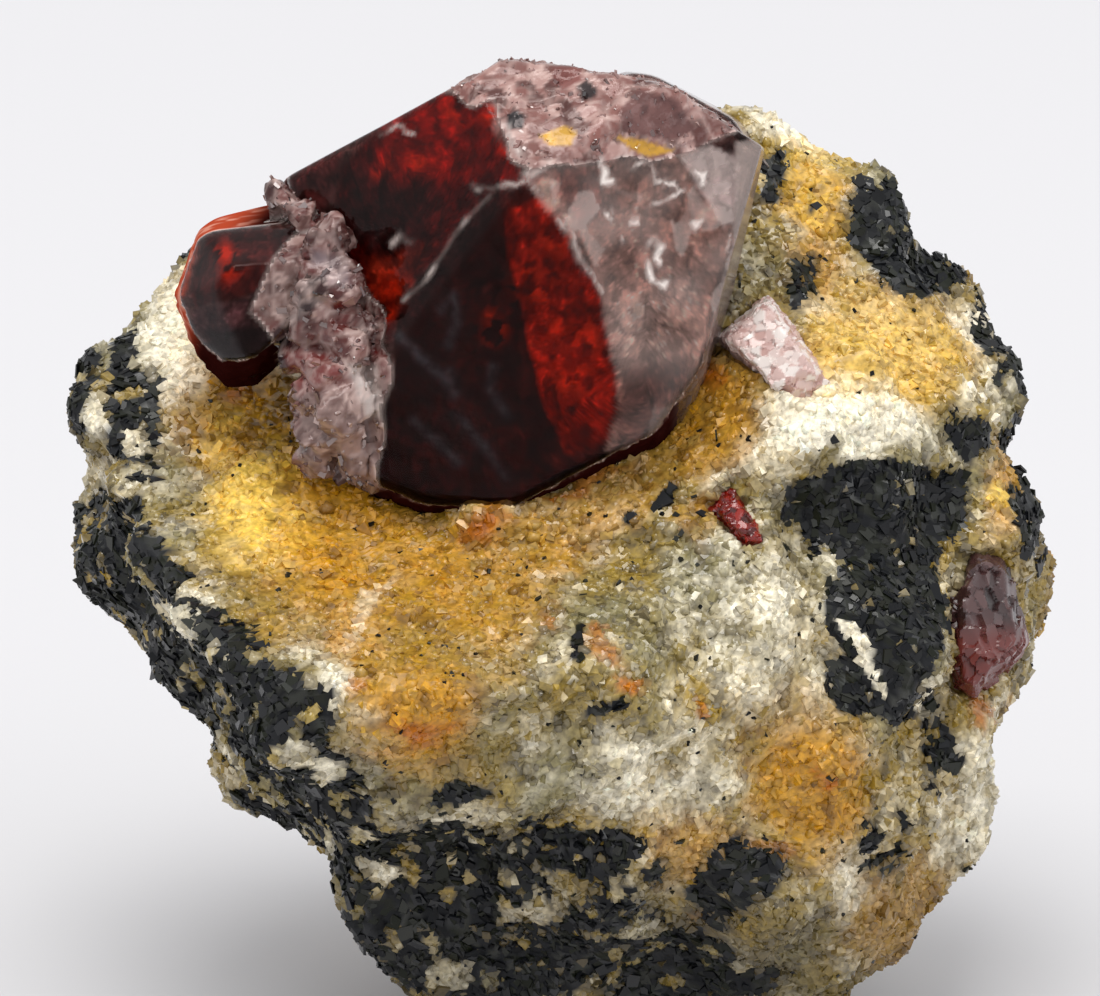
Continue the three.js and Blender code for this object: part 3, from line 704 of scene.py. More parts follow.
place, normal = places_on_rock(LEAF_PLACES)
mica_here = minerals(place)[4]
standing = (place @ direction(270, -18) < MIDDLE_HEIGHT - 0.6) & (cluster_distance(place) > 0)
standing &= nearest(place, (PINK, SMALL, RIGHT)) > 0.25
in_book = standing & (mica_here > MICA_FROM + (MICA_TO - MICA_FROM) * rng.random(len(place)))
lone = standing & ~in_book & (rng.random(len(place)) < LONE_SHARE)
size = LEAF_WIDTH * np.exp(0.3 * rng.normal(size=len(place))) * np.where(lone, 0.55, 1.0)
cell = np.floor((place + 0.8 * cloud(place, 1.5, 80)[:, None]) / BOOK_SIZE)
lie = np.stack([chance(cell, 81 + k) for k in range(3)], -1) * 2 - 1
normal = normal + 0.3 * lie
normal /= np.linalg.norm(normal, axis=1, keepdims=True)
place = place + normal * (0.08 * rng.random((len(place), 1)) - 0.05)

# Biotite: near black with a green or brown cast. A leaf that lies clean is as smooth as glass and
# flashes; most are frayed and stay black.
biotite, shader = material("black_mica")
tint = painted(biotite, "leaf_colour")
spot = node(biotite, "TexCoord")
scuff = node(biotite, "TexNoise", {"Scale": 2600, "Detail": 3}, {"Vector": spot.outputs["Object"]})
dull = node(biotite, "MapRange", {"To Min": 0.3, "To Max": 0.6}, {"Value": scuff.outputs["Fac"]})
shine = painted(biotite, "shine")
link(biotite, tint.outputs["Color"], shader.inputs["Base Color"])
link(biotite, dull.outputs["Result"], shader.inputs["Roughness"])
link(biotite, shine.outputs["Fac"], shader.inputs["Coat Weight"])
settle(shader, {"Coat Roughness": 0.08, "Specular IOR Level": 0.16, "IOR": 1.6})

MICA_CODES = ("#08090c", "#0a0c10", "#14170c", "#0e1014", "#1c1d16")
MICA_COLOURS = np.stack([linear(code) for code in MICA_CODES])

# Between the leaves the rock itself is mica: its breaks are cleaved books, and some flash.
shade = (own_grain * (len(MICA_COLOURS) - 0.01)).astype(int)
paint(rock, "leaf_colour", MICA_COLOURS[shade])
paint(rock, "shine", SHINE * (own_grain * 7 % 1) ** 3)
rock.data.materials.append(biotite)
in_mica = mica_share[rock_squares].mean(1) > 0.5
rock.data.polygons.foreach_set("material_index", in_mica.astype(np.int32))


def mica_piece(name, chosen, tilt, *nodes):
    """The chosen places' leaves as one piece, which stands for the given CAD nodes."""
    spots, facing = place[chosen], normal[chosen]
    thick = LEAF_THICKNESS * (0.6 + 0.9 * rng.random(len(spots)))
    shapes = leaves(size[chosen], thick)
    corners, faces = scattered(shapes, leaf_faces(), spots, turned(facing, tilt))
    made = piece(name, to_row(corners), faces)
    colours = MICA_COLOURS[rng.integers(0, len(MICA_COLOURS), len(spots))]
    paint(made, "leaf_colour", np.repeat(colours, 2 * LEAF_CORNERS, axis=0))
    paint(made, "shine", np.repeat(SHINE * rng.random(len(spots)) ** 3, 2 * LEAF_CORNERS))
    made.data.materials.append(biotite)
    if nodes:
        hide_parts(*nodes)


def near(node_name, margin=0.0012):
    """Which of the mica places lie in the box of a CAD node."""
    low, high = (np.array(corner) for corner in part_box(node_name))
    row = to_row(place)
    return ((row > low - margin) & (row < high + margin)).all(-1)


taken = np.zeros(len(place), bool)
for node_name in ("biotite_right", "biotite_crest", "biotite_rim", "biotite_flank"):
    book = in_book & near(node_name) & ~taken
    taken |= book
    mica_piece(f"{node_name}_leaves", book, 0.18, node_name)
mica_piece("mica_in_rock", in_book & ~taken, 0.22)
mica_piece("lone_flakes", lone, 0.7)

# ---- The zircon cluster ----
# Zircon, zirconium silicate: blunt crystals with flat, glassy faces. The large one is broken
# across its top, the left one is stubby, and crushed bits of both lie between them.


def fine_skin(node_name, square):
    """The points and squares of an even net, `square` mm wide, over a CAD node (face-frame mm)."""
    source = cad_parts[node_name]
    mesh = source.data.copy()
    mesh.transform(source.matrix_world)
    row = np.empty(len(mesh.vertices) * 3, np.float32)
    mesh.vertices.foreach_get("co", row)
    mesh.vertices.foreach_set("co", row * 1000)
    net = bpy.data.objects.new("net", mesh)
    bpy.context.collection.objects.link(net)
    weld = net.modifiers.new("weld", "WELD")
    weld.merge_threshold = 0.001
    remesh = net.modifiers.new("net", "REMESH")
    remesh.mode = "VOXEL"
    remesh.voxel_size = square
    bpy.context.view_layer.update()
    skin = net.evaluated_get(bpy.context.evaluated_depsgraph_get()).to_mesh()
    points = np.empty(len(skin.vertices) * 3)
    skin.vertices.foreach_get("co", points)
    faces = np.empty(len(skin.loops), np.int32)
    skin.loops.foreach_get("vertex_index", faces)
    bpy.data.objects.remove(net)
    x, y, z = points.reshape(-1, 3).T
    lean, rise = np.sin(FACE_LEAN), np.cos(FACE_LEAN)
    z = z - MIDDLE_HEIGHT
    return np.stack([x, y * lean + z * rise, -y * rise + z * lean], -1), faces.reshape(-1, 4)


def drawn_to(points, faces, distance, rounds=3, most=0.15):
    """Moves points along their normals onto the surface where `distance` is nought."""
    normal = outward(points, faces)
    for _ in range(rounds):
        points = points - normal * distance(points).clip(-most, most)[:, None]
    return points


BROKEN_TOP = [
    (-3.3, 14.0), (-1.6, 15.4), (-0.3, 15.4), (1.6, 15.2), (4.0, 14.2), (5.6, 12.9), (3.5, 12.0),
    (0.9, 11.8), (-0.4, 11.5), (-0.9, 11.3), (-1.8, 12.4), (-2.1, 13.5),
]
RIGHT_FACE = [
    (-0.8, 11.1), (-0.1, 11.6), (0.9, 11.8), (3.5, 12.1), (5.1, 9.9), (5.0, 8.3), (4.7, 7.2),
    (3.9, 5.3), (3.4, 3.9), (1.4, 3.3), (1.7, 4.4), (1.6, 6.0), (1.2, 7.5), (0.8, 8.5),
]
# Painted highlights: a facet and a band along the right rim where the window reflects, painted
# pale.
PAINTED_FACET_HIGHLIGHT = [(3.5, 12.0), (4.4, 12.3), (5.5, 11.8), (5.5, 10.2), (4.8, 9.9), (4.1, 11.0)]
PAINTED_RIM_HIGHLIGHT = [(5.2, 12.4), (6.2, 12.5), (6.2, 10.2), (5.8, 8.3), (5.1, 7.0), (5.1, 9.9)]
CRUSHED = [
    (-7.6, 9.9), (-6.6, 9.4), (-5.8, 8.2), (-5.0, 6.2), (-5.2, 4.2), (-5.5, 2.0), (-7.4, 2.2),
    (-8.6, 4.6), (-8.4, 6.6), (-9.1, 7.4), (-8.6, 8.8),
]
# Bruised edges and healed cracks that stand a little proud: half width in mm, strength, course
SCUFFS = [
    (0.07, 0.55, [(-0.9, 11.2), (-2.0, 10.9), (-2.6, 11.0)]),
    (0.07, 0.55, [(-2.1, 10.7), (-2.8, 10.0), (-3.3, 9.3), (-3.9, 8.3), (-4.6, 7.7)]),
    (0.08, 0.55, [(-0.8, 11.1), (-0.4, 10.5), (0, 10), (0.4, 9.3), (0.9, 8.5), (1.2, 7.9)]),
    (0.12, 0.55, [(-1.8, 12.9), (-1.3, 12.2), (-0.9, 11.3), (-0.5, 11.5), (-0.1, 11.8)]),
    (0.11, 1.0, [(1.1, 11.8), (1.4, 11.6), (1.3, 11.2), (1.7, 11.0), (2.3, 10.6), (2.3, 10.0),
      (1.9, 9.9), (1.6, 10.2), (1.7, 10.8)]),
    (0.11, 1.0, [(1.2, 10.2), (1.7, 9.9), (1.9, 9.4)]),
    (0.11, 1.0, [(2.7, 9.5), (3.0, 9.3), (2.8, 8.9), (3.2, 8.5), (3.1, 8.1), (2.7, 8.3),
      (2.4, 9.1), (2.7, 9.5)]),
    (0.11, 1.0, [(3.7, 11.6), (4.2, 11.4), (4.1, 10.8), (3.8, 10.5), (3.7, 10.1), (4.0, 9.9),
      (4.3, 10.2)]),
    (0.07, 0.9, [(1.8, 11.4), (2.5, 11.8), (2.9, 11.3), (3.5, 11.1)]),
    (0.07, 0.9, [(2.0, 10.1), (3.2, 10.7), (3.7, 11.0)]),
    (0.06, 0.55, [(-8.9, 10.2), (-8.6, 10.05), (-8.1, 10.3)]),
    (0.07, 0.55, [(-5.3, 12.7), (-4.8, 12.9), (-4.4, 12.6)]),
    (0.09, 0.55, [(-5.0, 9.35), (-4.7, 9.6), (-4.4, 9.45)]),
    (0.05, 0.55, [(5.1, 7.0), (4.9, 8.3), (5.1, 9.9), (5.2, 12.0)]),
]
# Flecks on the broken top and by it: outline and colour
FLECKS = [
    ([(-0.6, 12.5), (0.1, 12.8), (0.5, 12.6), (0.3, 12.2), (-0.3, 12.2)], "#d9a640"),
    ([(1.6, 12.5), (2.4, 12.4), (3.4, 12.1), (2.6, 11.9), (2.0, 12.2)], "#e0a93c"),
    ([(0.5, 14.0), (0.8, 14.2), (1.1, 13.9), (1.0, 13.6), (0.6, 13.6)], "#17181b"),
    ([(-1.6, 13.1), (-1.3, 13.3), (-1.0, 13.1), (-1.1, 12.7), (-1.5, 12.7)], "#1b2226"),
    ([(1.7, 13.2), (2.3, 13.9), (3.5, 13.6), (4.0, 12.7), (3.3, 12.4), (1.9, 12.6)], "#6d4a47"),
    ([(-0.2, 14.6), (0.5, 14.7), (0.7, 14.2), (0.1, 13.9), (-0.3, 14.1)], "#7b4843"),
]


def near_line(points, course, width):
    """exp(-(away / width)^2) from a course of (across, up) points on the display face."""
    spot = points[..., :2]
    corners = np.array(course, float)
    away = np.full(spot.shape[:-1], np.inf)
    for a, b in zip(corners[:-1], corners[1:]):
        along = ((spot - a) @ (b - a) / ((b - a) @ (b - a))).clip(0, 1)
        away = np.minimum(away, np.linalg.norm(spot - a - along[..., None] * (b - a), axis=-1))
    return np.exp(-((away / width) ** 2))


cluster, squares = fine_skin("zircon_cluster", 0.12)
grown = np.abs(cluster_distance(cluster)) < 0.15
cluster = np.where(grown[:, None], drawn_to(cluster, squares, cluster_distance), cluster)
on_front = ease(cluster[:, 2], 2, 4)
warped = cluster + 0.25 * cloud(cluster, 0.9, 65)[:, None]
top = on_front * within(warped, BROKEN_TOP)
crushed = np.maximum(on_front * within(warped, CRUSHED), ~grown)
skin_normal = outward(cluster, squares)
edge_on = grown * (1 - ease(skin_normal[:, 2], 0.2, 0.4)) * ease(skin_normal[:, 2], -0.35, -0.15)
left_rim = edge_on * (1 - ease(cluster[:, 0], -8.4, -7.8))
right_rim = edge_on * ease(cluster[:, 0], 4.0, 5.0)
foot = edge_on * (1 - ease(skin_normal[:, 1], 0.1, 0.5)) * (1 - right_rim)
side = np.maximum.reduce([left_rim, right_rim, foot])
rough = np.clip(top + crushed + foot, 0, 1)
scuffed = np.zeros(len(cluster))
stray = cluster + np.array([0.12, 0.12, 0]) * cloud(cluster, 0.4, 68)[:, None]
for width, strength, course in SCUFFS:
    scuffed = np.maximum(scuffed, strength * near_line(stray, course, width))
scuffed *= on_front * (0.15 + 0.85 * ease(cloud(cluster, 0.45, 69), -0.3, 0.4))
relief = (0.14 * rough + 0.3 * foot) * breaks(cluster, 0.5, 61)
relief += 0.4 * crushed * breaks(cluster, 0.95, 60)
relief += 0.3 * top * breaks(cluster, 0.95, 60) + 0.010 * cloud(cluster, 1.4, 62) + 0.03 * scuffed
cluster = cluster + outward(cluster, squares) * relief[:, None]

_, own_large, border = cells(cluster, 0.95, 63)
_, own_small, edge = cells(cluster, 0.45, 64)
cracks = np.maximum(np.exp(-((border / 0.10) ** 2)), 0.6 * np.exp(-((edge / 0.12) ** 2)))
MAUVE = linear("#6e3a36")
TOP_MAUVE = linear("#93655e")
PINK_WHITE = linear("#d8beb6")
DARK_BREAK = linear("#3d1816")
HEALED = linear("#efe6e0")
# Outline on the display face, colour, share, width of its edge
BREAK_ZONES = [
    ([(-7.7, 8.3), (-6.8, 8.5), (-6.8, 7.8), (-7.5, 7.2), (-8.1, 6.9), (-7.6, 5.6), (-8.7, 5.6),
      (-8.6, 6.7), (-7.8, 7.5)], "#1d1519", 0.95, 0.12),
    ([(-6.7, 7.8), (-6.0, 7.6), (-6.1, 6.8), (-6.8, 6.8)], "#5e1d19", 0.9, 0.12),
    ([(-8.2, 6.3), (-6.5, 6.1), (-6.4, 5.0), (-7.8, 4.9)], "#7a3936", 0.9, 0.15),
    ([(-5.6, 6.3), (-4.7, 6.1), (-4.8, 5.2), (-5.4, 5.1)], "#5e1a18", 0.9, 0.1),
    ([(-7.7, 5.0), (-5.6, 5.3), (-5.2, 4.2), (-5.4, 2.0), (-7.0, 2.0), (-7.6, 3.1)], "#7d625d",
      0.75, 0.3),
    ([(-7.3, 9.2), (-6.3, 8.9), (-6.2, 8.0), (-6.8, 8.1), (-7.0, 8.7), (-7.4, 8.7)], "#8d7c7f",
      0.9, 0.15),
    ([(-8.8, 8.6), (-7.8, 8.8), (-7.8, 7.5), (-8.7, 6.9), (-9.1, 7.5)], "#785d57", 0.85, 0.2),
    ([(-6.3, 5.8), (-5.4, 5.8), (-5.2, 4.2), (-5.7, 4.2)], "#cfc3be", 0.9, 0.1),
]


def break_colour(points, own_large, own_small, cracks):
    """Each broken lump dark red to mauve by its cell, over it the zones, then pinkish white along
    the cracks between them, and the flecks."""
    low_down = ease(-points[:, 1], -5.4, -3.8) * (points[:, 0] < -5)
    on_top = points[:, 0] > -3.5
    lump = blend(np.ones(points.shape) * DARK_BREAK, MAUVE, own_large)
    colour = blend(lump, TOP_MAUVE, on_top * (0.55 + 0.4 * own_small))
    for outline, code, share, soft in BREAK_ZONES:
        colour = blend(colour, linear(code), share * within(points, outline, soft))
    colour = blend(colour, DARK_BREAK, 0.5 * (own_small < 0.2) * (1 - 0.7 * low_down))
    whitened = 0.4 * cracks + 0.3 * ease(own_small, 0.75, 0.95) + 0.1 * low_down
    colour = blend(colour, PINK_WHITE, whitened)
    for outline, code in FLECKS:
        colour = blend(colour, linear(code), 0.95 * within(points, outline, 0.05))
    return colour * np.exp(0.4 * (own_small - 0.5))[:, None]


zircons = piece("zircon_crystals", to_row(cluster), squares, smooth=True)
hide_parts("zircon_cluster")
streaky = cloud(cluster * np.array([0.6, 1.0, 1.0]), 1.0, 97)
misty = 0.08 + 0.12 * streaky + 0.2 * ease(own_large, 0.85, 0.95)
frost = np.maximum(0.8 * rough, misty * on_front * within(warped, RIGHT_FACE))
# Painted highlights: the reflecting facet and rim band are frosted and made pale.
frost = np.maximum(frost, (0.2 + 0.2 * own_small) * on_front * within(cluster, PAINTED_FACET_HIGHLIGHT, 0.05))
frost = np.maximum(frost, 0.30 * on_front * within(cluster, PAINTED_RIM_HIGHLIGHT, 0.08))
frost = np.maximum(frost, scuffed)
for outline, _ in FLECKS:
    frost = np.maximum(frost, on_front * within(cluster, outline, 0.05))
frost = np.maximum(frost, 0.85 * side)
paint(zircons, "frost", np.clip(frost, 0, 1))
frosting = blend(break_colour(cluster, own_large, own_small, cracks), HEALED, scuffed)
haze = np.ones(cluster.shape) * linear("#e6d3cc")
side_colour = np.ones(cluster.shape) * linear("#2b0d0b")
side_colour = blend(side_colour, linear("#94837c"), ease(cluster[:, 0], 3.2, 4.6))
# Painted glow: the left crystal's rim painted orange-red as if lit through, with pale cracks in it.
painted_rim_glow = 1 - ease(cluster[:, 0] - 0.5 * cluster[:, 1], -15.0, -13.8)
side_colour = blend(side_colour, linear("#a8432b"), painted_rim_glow)
cracks_in_painted_glow = 0.6 * painted_rim_glow * ease(cloud(cluster, 0.35, 98), -0.1, 0.5)
side_colour = blend(side_colour, linear("#d9a08c"), cracks_in_painted_glow)
haze = blend(haze, side_colour, side)
frosting = blend(frosting, side_colour, side * (1 - top) * (1 - crushed))
paint(zircons, "frosting", blend(haze, frosting, np.maximum(1.6 * rough, 1.2 * scuffed)))

# Clear zircon: high IOR, so its faces are bright, and nearly colourless in its outer skin. A
# healed crack that reaches the face shows white in it.
zircon, shader = material("clear_zircon")
tint = painted(zircon, "frosting")
frosted = painted(zircon, "frost")
clear = node(zircon, "MapRange", {"To Min": 1.0, "To Max": 0.1}, {"Value": frosted.outputs["Fac"]})
dull = node(zircon, "MapRange", {"To Min": 0.02, "To Max": 0.2}, {"Value": frosted.outputs["Fac"]})
link(zircon, tint.outputs["Color"], shader.inputs["Base Color"])
link(zircon, clear.outputs["Result"], shader.inputs["Transmission Weight"])
link(zircon, dull.outputs["Result"], shader.inputs["Roughness"])
settle(shader, {"IOR": 1.93, "Specular Tint": (0.08, 0.05, 0.05, 1)})
deep = node(zircon, "VolumeAbsorption", {"Color": (0.80, 0.42, 0.36, 1), "Density": 350})
link(zircon, deep.outputs["Volume"], zircon.node_tree.nodes["Material Output"].inputs["Volume"])
zircons.data.materials.append(zircon)

# Broken zircon: each crack scatters the light, so it is pale and glitters, and only a little light
# goes through it.
broken_zircon, shader = material("broken_zircon")
tint = painted(broken_zircon, "frosting")
spot = node(broken_zircon, "TexCoord")
grit = node(
    broken_zircon, "TexNoise", {"Scale": 3000, "Detail": 3}, {"Vector": spot.outputs["Object"]}
)
bump = node(
    broken_zircon, "Bump", {"Strength": 0.5, "Distance": 0.00008}, {"Height": grit.outputs["Fac"]}
)
link(broken_zircon, tint.outputs["Color"], shader.inputs["Base Color"])
link(broken_zircon, bump.outputs["Normal"], shader.inputs["Normal"])
settle(shader, {
    "Roughness": 0.12, "IOR": 1.93, "Specular Tint": (0.3, 0.26, 0.26, 1),
    "Transmission Weight": 0.2,
})
zircons.data.materials.append(broken_zircon)

# Where the crystals met the rock they are ground and dull.
dull_zircon, shader = material("zircon_against_rock")
tint = painted(dull_zircon, "frosting")
link(dull_zircon, tint.outputs["Color"], shader.inputs["Base Color"])
settle(shader, {"Roughness": 0.7, "Specular IOR Level": 0.0})
zircons.data.materials.append(dull_zircon)
kind = (rough[squares].mean(1) > 0.5).astype(np.int32)
against = side * (cluster[:, 0] < 3.5) * (1 - crushed) * (1 - top)
kind[against[squares].mean(1) > 0.5] = 2
zircons.data.polygons.foreach_set("material_index", kind)

# ---- The crushed zircon ----
# Where the crystals are broken, glassy splinters and crumbs of them still cling: angular, some
# clear, some white with cracks, some dark red. The broken top carries only fine crumbs.

SPLINTERS, SPLINTER_SIZE = 350, 0.14
CRUMBS, CRUMB_SIZE = 350, 0.09


def clinging(name, weight, count, middle_size, sunk):
    """Splinters on the cluster's net, the more the greater `weight` there, with their colours."""
    chosen = rng.choice(len(cluster), count, p=weight / weight.sum())
    size = middle_size * np.exp(0.4 * rng.normal(size=count))
    facing = skin_normal[chosen]
    spots = cluster[chosen] - facing * (sunk * size * rng.random(count))[:, None]
    blocks = uneven_blocks(size) * (1.4, 0.8, 0.5)
    corners, faces = scattered(blocks, BLOCK_FACES, spots, turned(facing, 1.2))
    made = piece(name, to_row(corners), faces)
    colours = break_colour(spots, rng.random(count), rng.random(count), 0.5 * rng.random(count))
    paint(made, "splinter_colour", np.repeat(colours, 8, axis=0).clip(0, 1))
    made.data.materials.append(splinter_glass)


# Splinters: as clear as the crystal where whole, and silvery where cracks fill them.
splinter_glass, shader = material("zircon_splinters")
tint = painted(splinter_glass, "splinter_colour")
link(splinter_glass, tint.outputs["Color"], shader.inputs["Base Color"])
settle(shader, {"Roughness": 0.1, "IOR": 1.93, "Transmission Weight": 0.3})

in_front = on_front * ease(skin_normal[:, 2], -0.3, 0.2)
clinging("zircon_splinters", crushed * in_front + 1e-6, SPLINTERS, SPLINTER_SIZE, 0.4)
clinging("zircon_crumbs", top * in_front + 1e-6, CRUMBS, CRUMB_SIZE, 0.4)

# ---- The colour inside the zircons ----
# The crystals grew dark red inside and nearly colourless outside, with a straight border between
# growth zones. This is the coloured, cracked inner crystal, which shows through the clear skin.

# Outline on the display face, colour, share, width of its edge
INSIDE = [
    ([(-8.0, 12.4), (-6.3, 12.4), (-6.5, 11.6), (-7.0, 9.9), (-7.8, 9.5)], "#6e2426", 0.8, 0.2),
    ([(-5.8, 12.4), (-3.3, 14.0), (-2.1, 13.6), (-1.0, 11.8), (-0.8, 11.1), (-2.0, 10.7),
      (-3.3, 9.1), (-4.5, 7.8), (-4.9, 6.4), (-5.5, 7.2), (-6.3, 8.3), (-6.7, 10.2),
      (-6.5, 11.6)], "#6a0d0a", 1.0, 0.15),
    ([(-5.2, 12.7), (-3.3, 13.8), (-2.1, 13.5), (-1.0, 11.8), (-0.9, 11.2), (-2.6, 11.0),
      (-3.7, 11.3), (-4.9, 11.0), (-5.4, 11.8)], "#a3140b", 0.9, 0.25),
    ([(-6.5, 11.6), (-5.8, 12.1), (-4.9, 11.1), (-3.7, 11.1), (-3.3, 10.2), (-4.2, 8.9),
      (-5.5, 8.7), (-6.4, 9.7)], "#2a0c0e", 0.85, 0.5),
    ([(-5.8, 8.9), (-4.5, 9.1), (-3.7, 9.3), (-4.4, 7.9), (-4.8, 7.0), (-5.4, 7.2)], "#94301a",
      0.7, 0.3),
    ([(-2.1, 10.7), (-0.8, 11.0), (0.3, 9.5), (0.9, 8.5), (1.2, 7.5), (1.6, 6.0), (1.7, 4.4),
      (1.4, 3.3), (-0.3, 1.2), (-3.3, 0.8), (-4.1, 1.4), (-5.8, 2.5), (-5.5, 3.5), (-4.9, 5.9),
      (-4.6, 7.7), (-3.3, 9.1)], "#2a0c0c", 1.0, 0.06),
    ([(-2.1, 10.7), (-0.8, 11.0), (-0.3, 10.2), (-1.6, 9.6)], "#4a100b", 0.9, 0.2),
    ([(-1.6, 10.2), (-0.6, 10.8), (0.1, 9.7), (0.9, 8.2), (1.3, 7.0), (1.6, 5.3), (1.5, 3.6),
      (0.2, 3.2), (-0.4, 4.3), (-0.8, 6.0), (-1.2, 7.9), (-1.6, 9.5)], "#a51d0b", 1.0, 0.06),
    ([(0.9, 3.9), (1.5, 3.6), (1.4, 3.0), (-0.3, 2.0), (-2.0, 1.6), (-1.0, 3.0)], "#3c1210",
      0.7, 0.4),
    (RIGHT_FACE, "#c4a49b", 1.0, 0.12),
    ([(-0.4, 11.6), (1.2, 11.6), (1.2, 10.2), (0.5, 9.8), (-0.1, 10.6)], "#8a5a55", 0.9, 0.15),
    ([(1.4, 7.7), (4.0, 8.3), (4.0, 7.0), (2.8, 6.0), (1.6, 6.0)], "#d9c4bd", 0.8, 0.3),
    ([(1.8, 5.7), (3.8, 6.1), (3.7, 4.9), (3.2, 3.8), (1.6, 3.5)], "#6b4a45", 0.95, 0.15),
    # Painted highlights of the reflecting facet and rim band
    (PAINTED_FACET_HIGHLIGHT, "#d9d4da", 0.9, 0.1),
    (PAINTED_RIM_HIGHLIGHT, "#a39a94", 0.9, 0.1),
    (BROKEN_TOP, "#b3908c", 0.9, 0.15),
    ([(1.7, 13.2), (2.3, 13.9), (3.5, 13.6), (4.0, 12.7), (3.3, 12.3), (1.8, 12.4)], "#5e3f3e",
      0.9, 0.1),
    ([(-11.0, 8.0), (-10.5, 9.5), (-9.9, 9.8), (-7.7, 9.8), (-7.8, 8.8), (-8.9, 8.0), (-9.4, 7.8),
      (-10.8, 7.5)], "#4a1210", 0.95, 0.1),
    ([(-10.8, 7.5), (-9.2, 7.8), (-9.1, 6.9), (-10.2, 6.5), (-10.9, 7.0)], "#5b3b41", 0.9, 0.12),
    ([(-10.5, 6.8), (-8.9, 7.0), (-8.1, 6.8), (-8.1, 5.3), (-10.2, 5.3)], "#131014", 0.95, 0.15),
    # Painted glow: the left crystal's thin rim, orange-red as if lit through.
    ([(-11.8, 8.3), (-11.2, 10.0), (-10.0, 10.6), (-8.9, 10.6), (-9.9, 9.9), (-10.6, 9.6),
      (-11.05, 8.0), (-11.5, 7.4)], "#e0582c", 1.0, 0.08),
]
# Painted glints: bright spots painted where cracks catch the light: across, up, radius
PAINTED_GLINTS = [
    (-0.6, 8.2, 0.42), (0.1, 6.8, 0.3), (0.9, 6.5, 0.35), (-2.0, 13.1, 0.25), (-1.7, 12.3, 0.25),
    (-5.2, 11.6, 0.2), (-4.9, 8.1, 0.35), (-5.1, 7.2, 0.22), (-2.0, 7.0, 0.3), (-4.0, 11.8, 0.3),
    (-3.0, 13.2, 0.3), (-9.9, 9.1, 0.25), (-9.7, 8.6, 0.22), (0.4, 5.4, 0.4), (-0.2, 9.4, 0.3),
]
PAINTED_GLINT_RED = linear("#ff3a12")


# Veils of cracks deep in the lower face, painted grey-blue for their sheen: courses on the display
# face
VEILS = [
    [(-3.5, 7.4), (-3.2, 7.8), (-3.1, 7.0), (-3.3, 6.4)], [(-2.0, 5.7), (-2.1, 5.1), (-1.6, 4.3)],
    [(-4.7, 6.6), (-4.2, 6.0), (-3.5, 5.5), (-3.1, 5.0), (-3.3, 5.6)],
    [(-3.1, 4.4), (-2.6, 3.9), (-2.1, 3.3), (-1.6, 2.6)], [(-4.3, 4.2), (-3.5, 3.5), (-3.0, 3.0)],
]
VEIL_AND_SHEEN_GREY = linear("#5c626c")


def inner_colour(points):
    """The growth zones' colours one over another, each crack-bound cell lighter or darker, with
    veils in a painted sheen and painted glints of bright cracks."""
    moved = points + 0.08 * cloud(points, 0.8, 90)[:, None]
    colour = np.ones(points.shape) * linear("#7a5a58")
    for outline, code, share, soft in INSIDE:
        colour = blend(colour, linear(code), share * within(moved, outline, soft))
    _, own_large, border = cells(moved * np.array([1.0, 0.7, 1.0]), 0.9, 91)
    _, own_small, edge = cells(moved, 0.36, 95)
    stronger = 1.1 * (own_large - 0.5) + 0.9 * (own_small - 0.5) + 0.35 * cloud(points, 2.0, 99)
    stronger -= 0.5 * (border < 0.10) - 0.45 * (edge < 0.07)
    colour = colour * np.exp(stronger)[:, None]
    # Veils of cracks, with a painted blue sheen.
    for course in VEILS:
        veiled = near_line(moved, course, 0.16) * (0.3 + 0.5 * own_small)
        colour = blend(colour, VEIL_AND_SHEEN_GREY, veiled * (points[:, 2] > 3))
    # Painted glints: bright red spots where cracks catch the light.
    for across, up, radius in PAINTED_GLINTS:
        away = np.hypot(moved[:, 0] - across, moved[:, 1] - up) / (1.2 * radius)
        share = np.exp(-away * away) * ease(own_small, 0.3, 0.7)
        colour = blend(colour, PAINTED_GLINT_RED, share * (points[:, 2] > 3))
    return colour.clip(0, 1)


def inner_crystal(name, faces, middle, panel, depth, relief):
    """A star-shaped body about `middle`: along each ray the least distance to the faces, less
    the depth of the clear skin and a cracked relief."""
    rays, squares = ball_net(panel)
    normals = np.stack([direction(around, out) for around, out, _ in faces])
    offsets = (normals * (np.array([through for _, _, through in faces]) - middle)).sum(1)
    reach = smooth_least(offsets / np.maximum(rays @ normals.T, 1e-3), 0.05)
    points = middle + rays * (reach - depth)[:, None]
    cracked = cloud(points, 1.3, 93) + 0.6 * cloud(points, 0.55, 94)
    points = points + rays * (relief * cracked)[:, None]
    body = piece(name, to_row(points), squares)
    paint(body, "inner_colour", inner_colour(points))
    body.data.materials.append(coloured)


# Red zircon: coloured by a trace of uranium, and full of healed cracks that glint, partly by
# painted glints.
coloured, shader = material("red_zircon_inside")
tint = painted(coloured, "inner_colour")
spot = node(coloured, "TexCoord")
cracks = node(
    coloured, "TexNoise", {"Scale": 2200, "Detail": 5}, {"Vector": spot.outputs["Object"]}
)
bump = node(
    coloured, "Bump", {"Strength": 0.6, "Distance": 0.0001}, {"Height": cracks.outputs["Fac"]}
)
# Painted glints: the crack noise scales the colour from 0.55 to 1.7 times.
glint = node(
    coloured, "MapRange", {"From Min": 0.35, "From Max": 0.72, "To Min": 0.55, "To Max": 1.7},
    {"Value": cracks.outputs["Fac"]},
)
colour_with_painted_glints = node(
    coloured, "VectorMath", {"operation": "SCALE"},
    {0: tint.outputs["Color"], "Scale": glint.outputs["Result"]},
)
link(coloured, colour_with_painted_glints.outputs["Vector"], shader.inputs["Base Color"])
link(coloured, bump.outputs["Normal"], shader.inputs["Normal"])
settle(shader, {"Roughness": 0.3, "IOR": 1.5, "Specular IOR Level": 0.06})

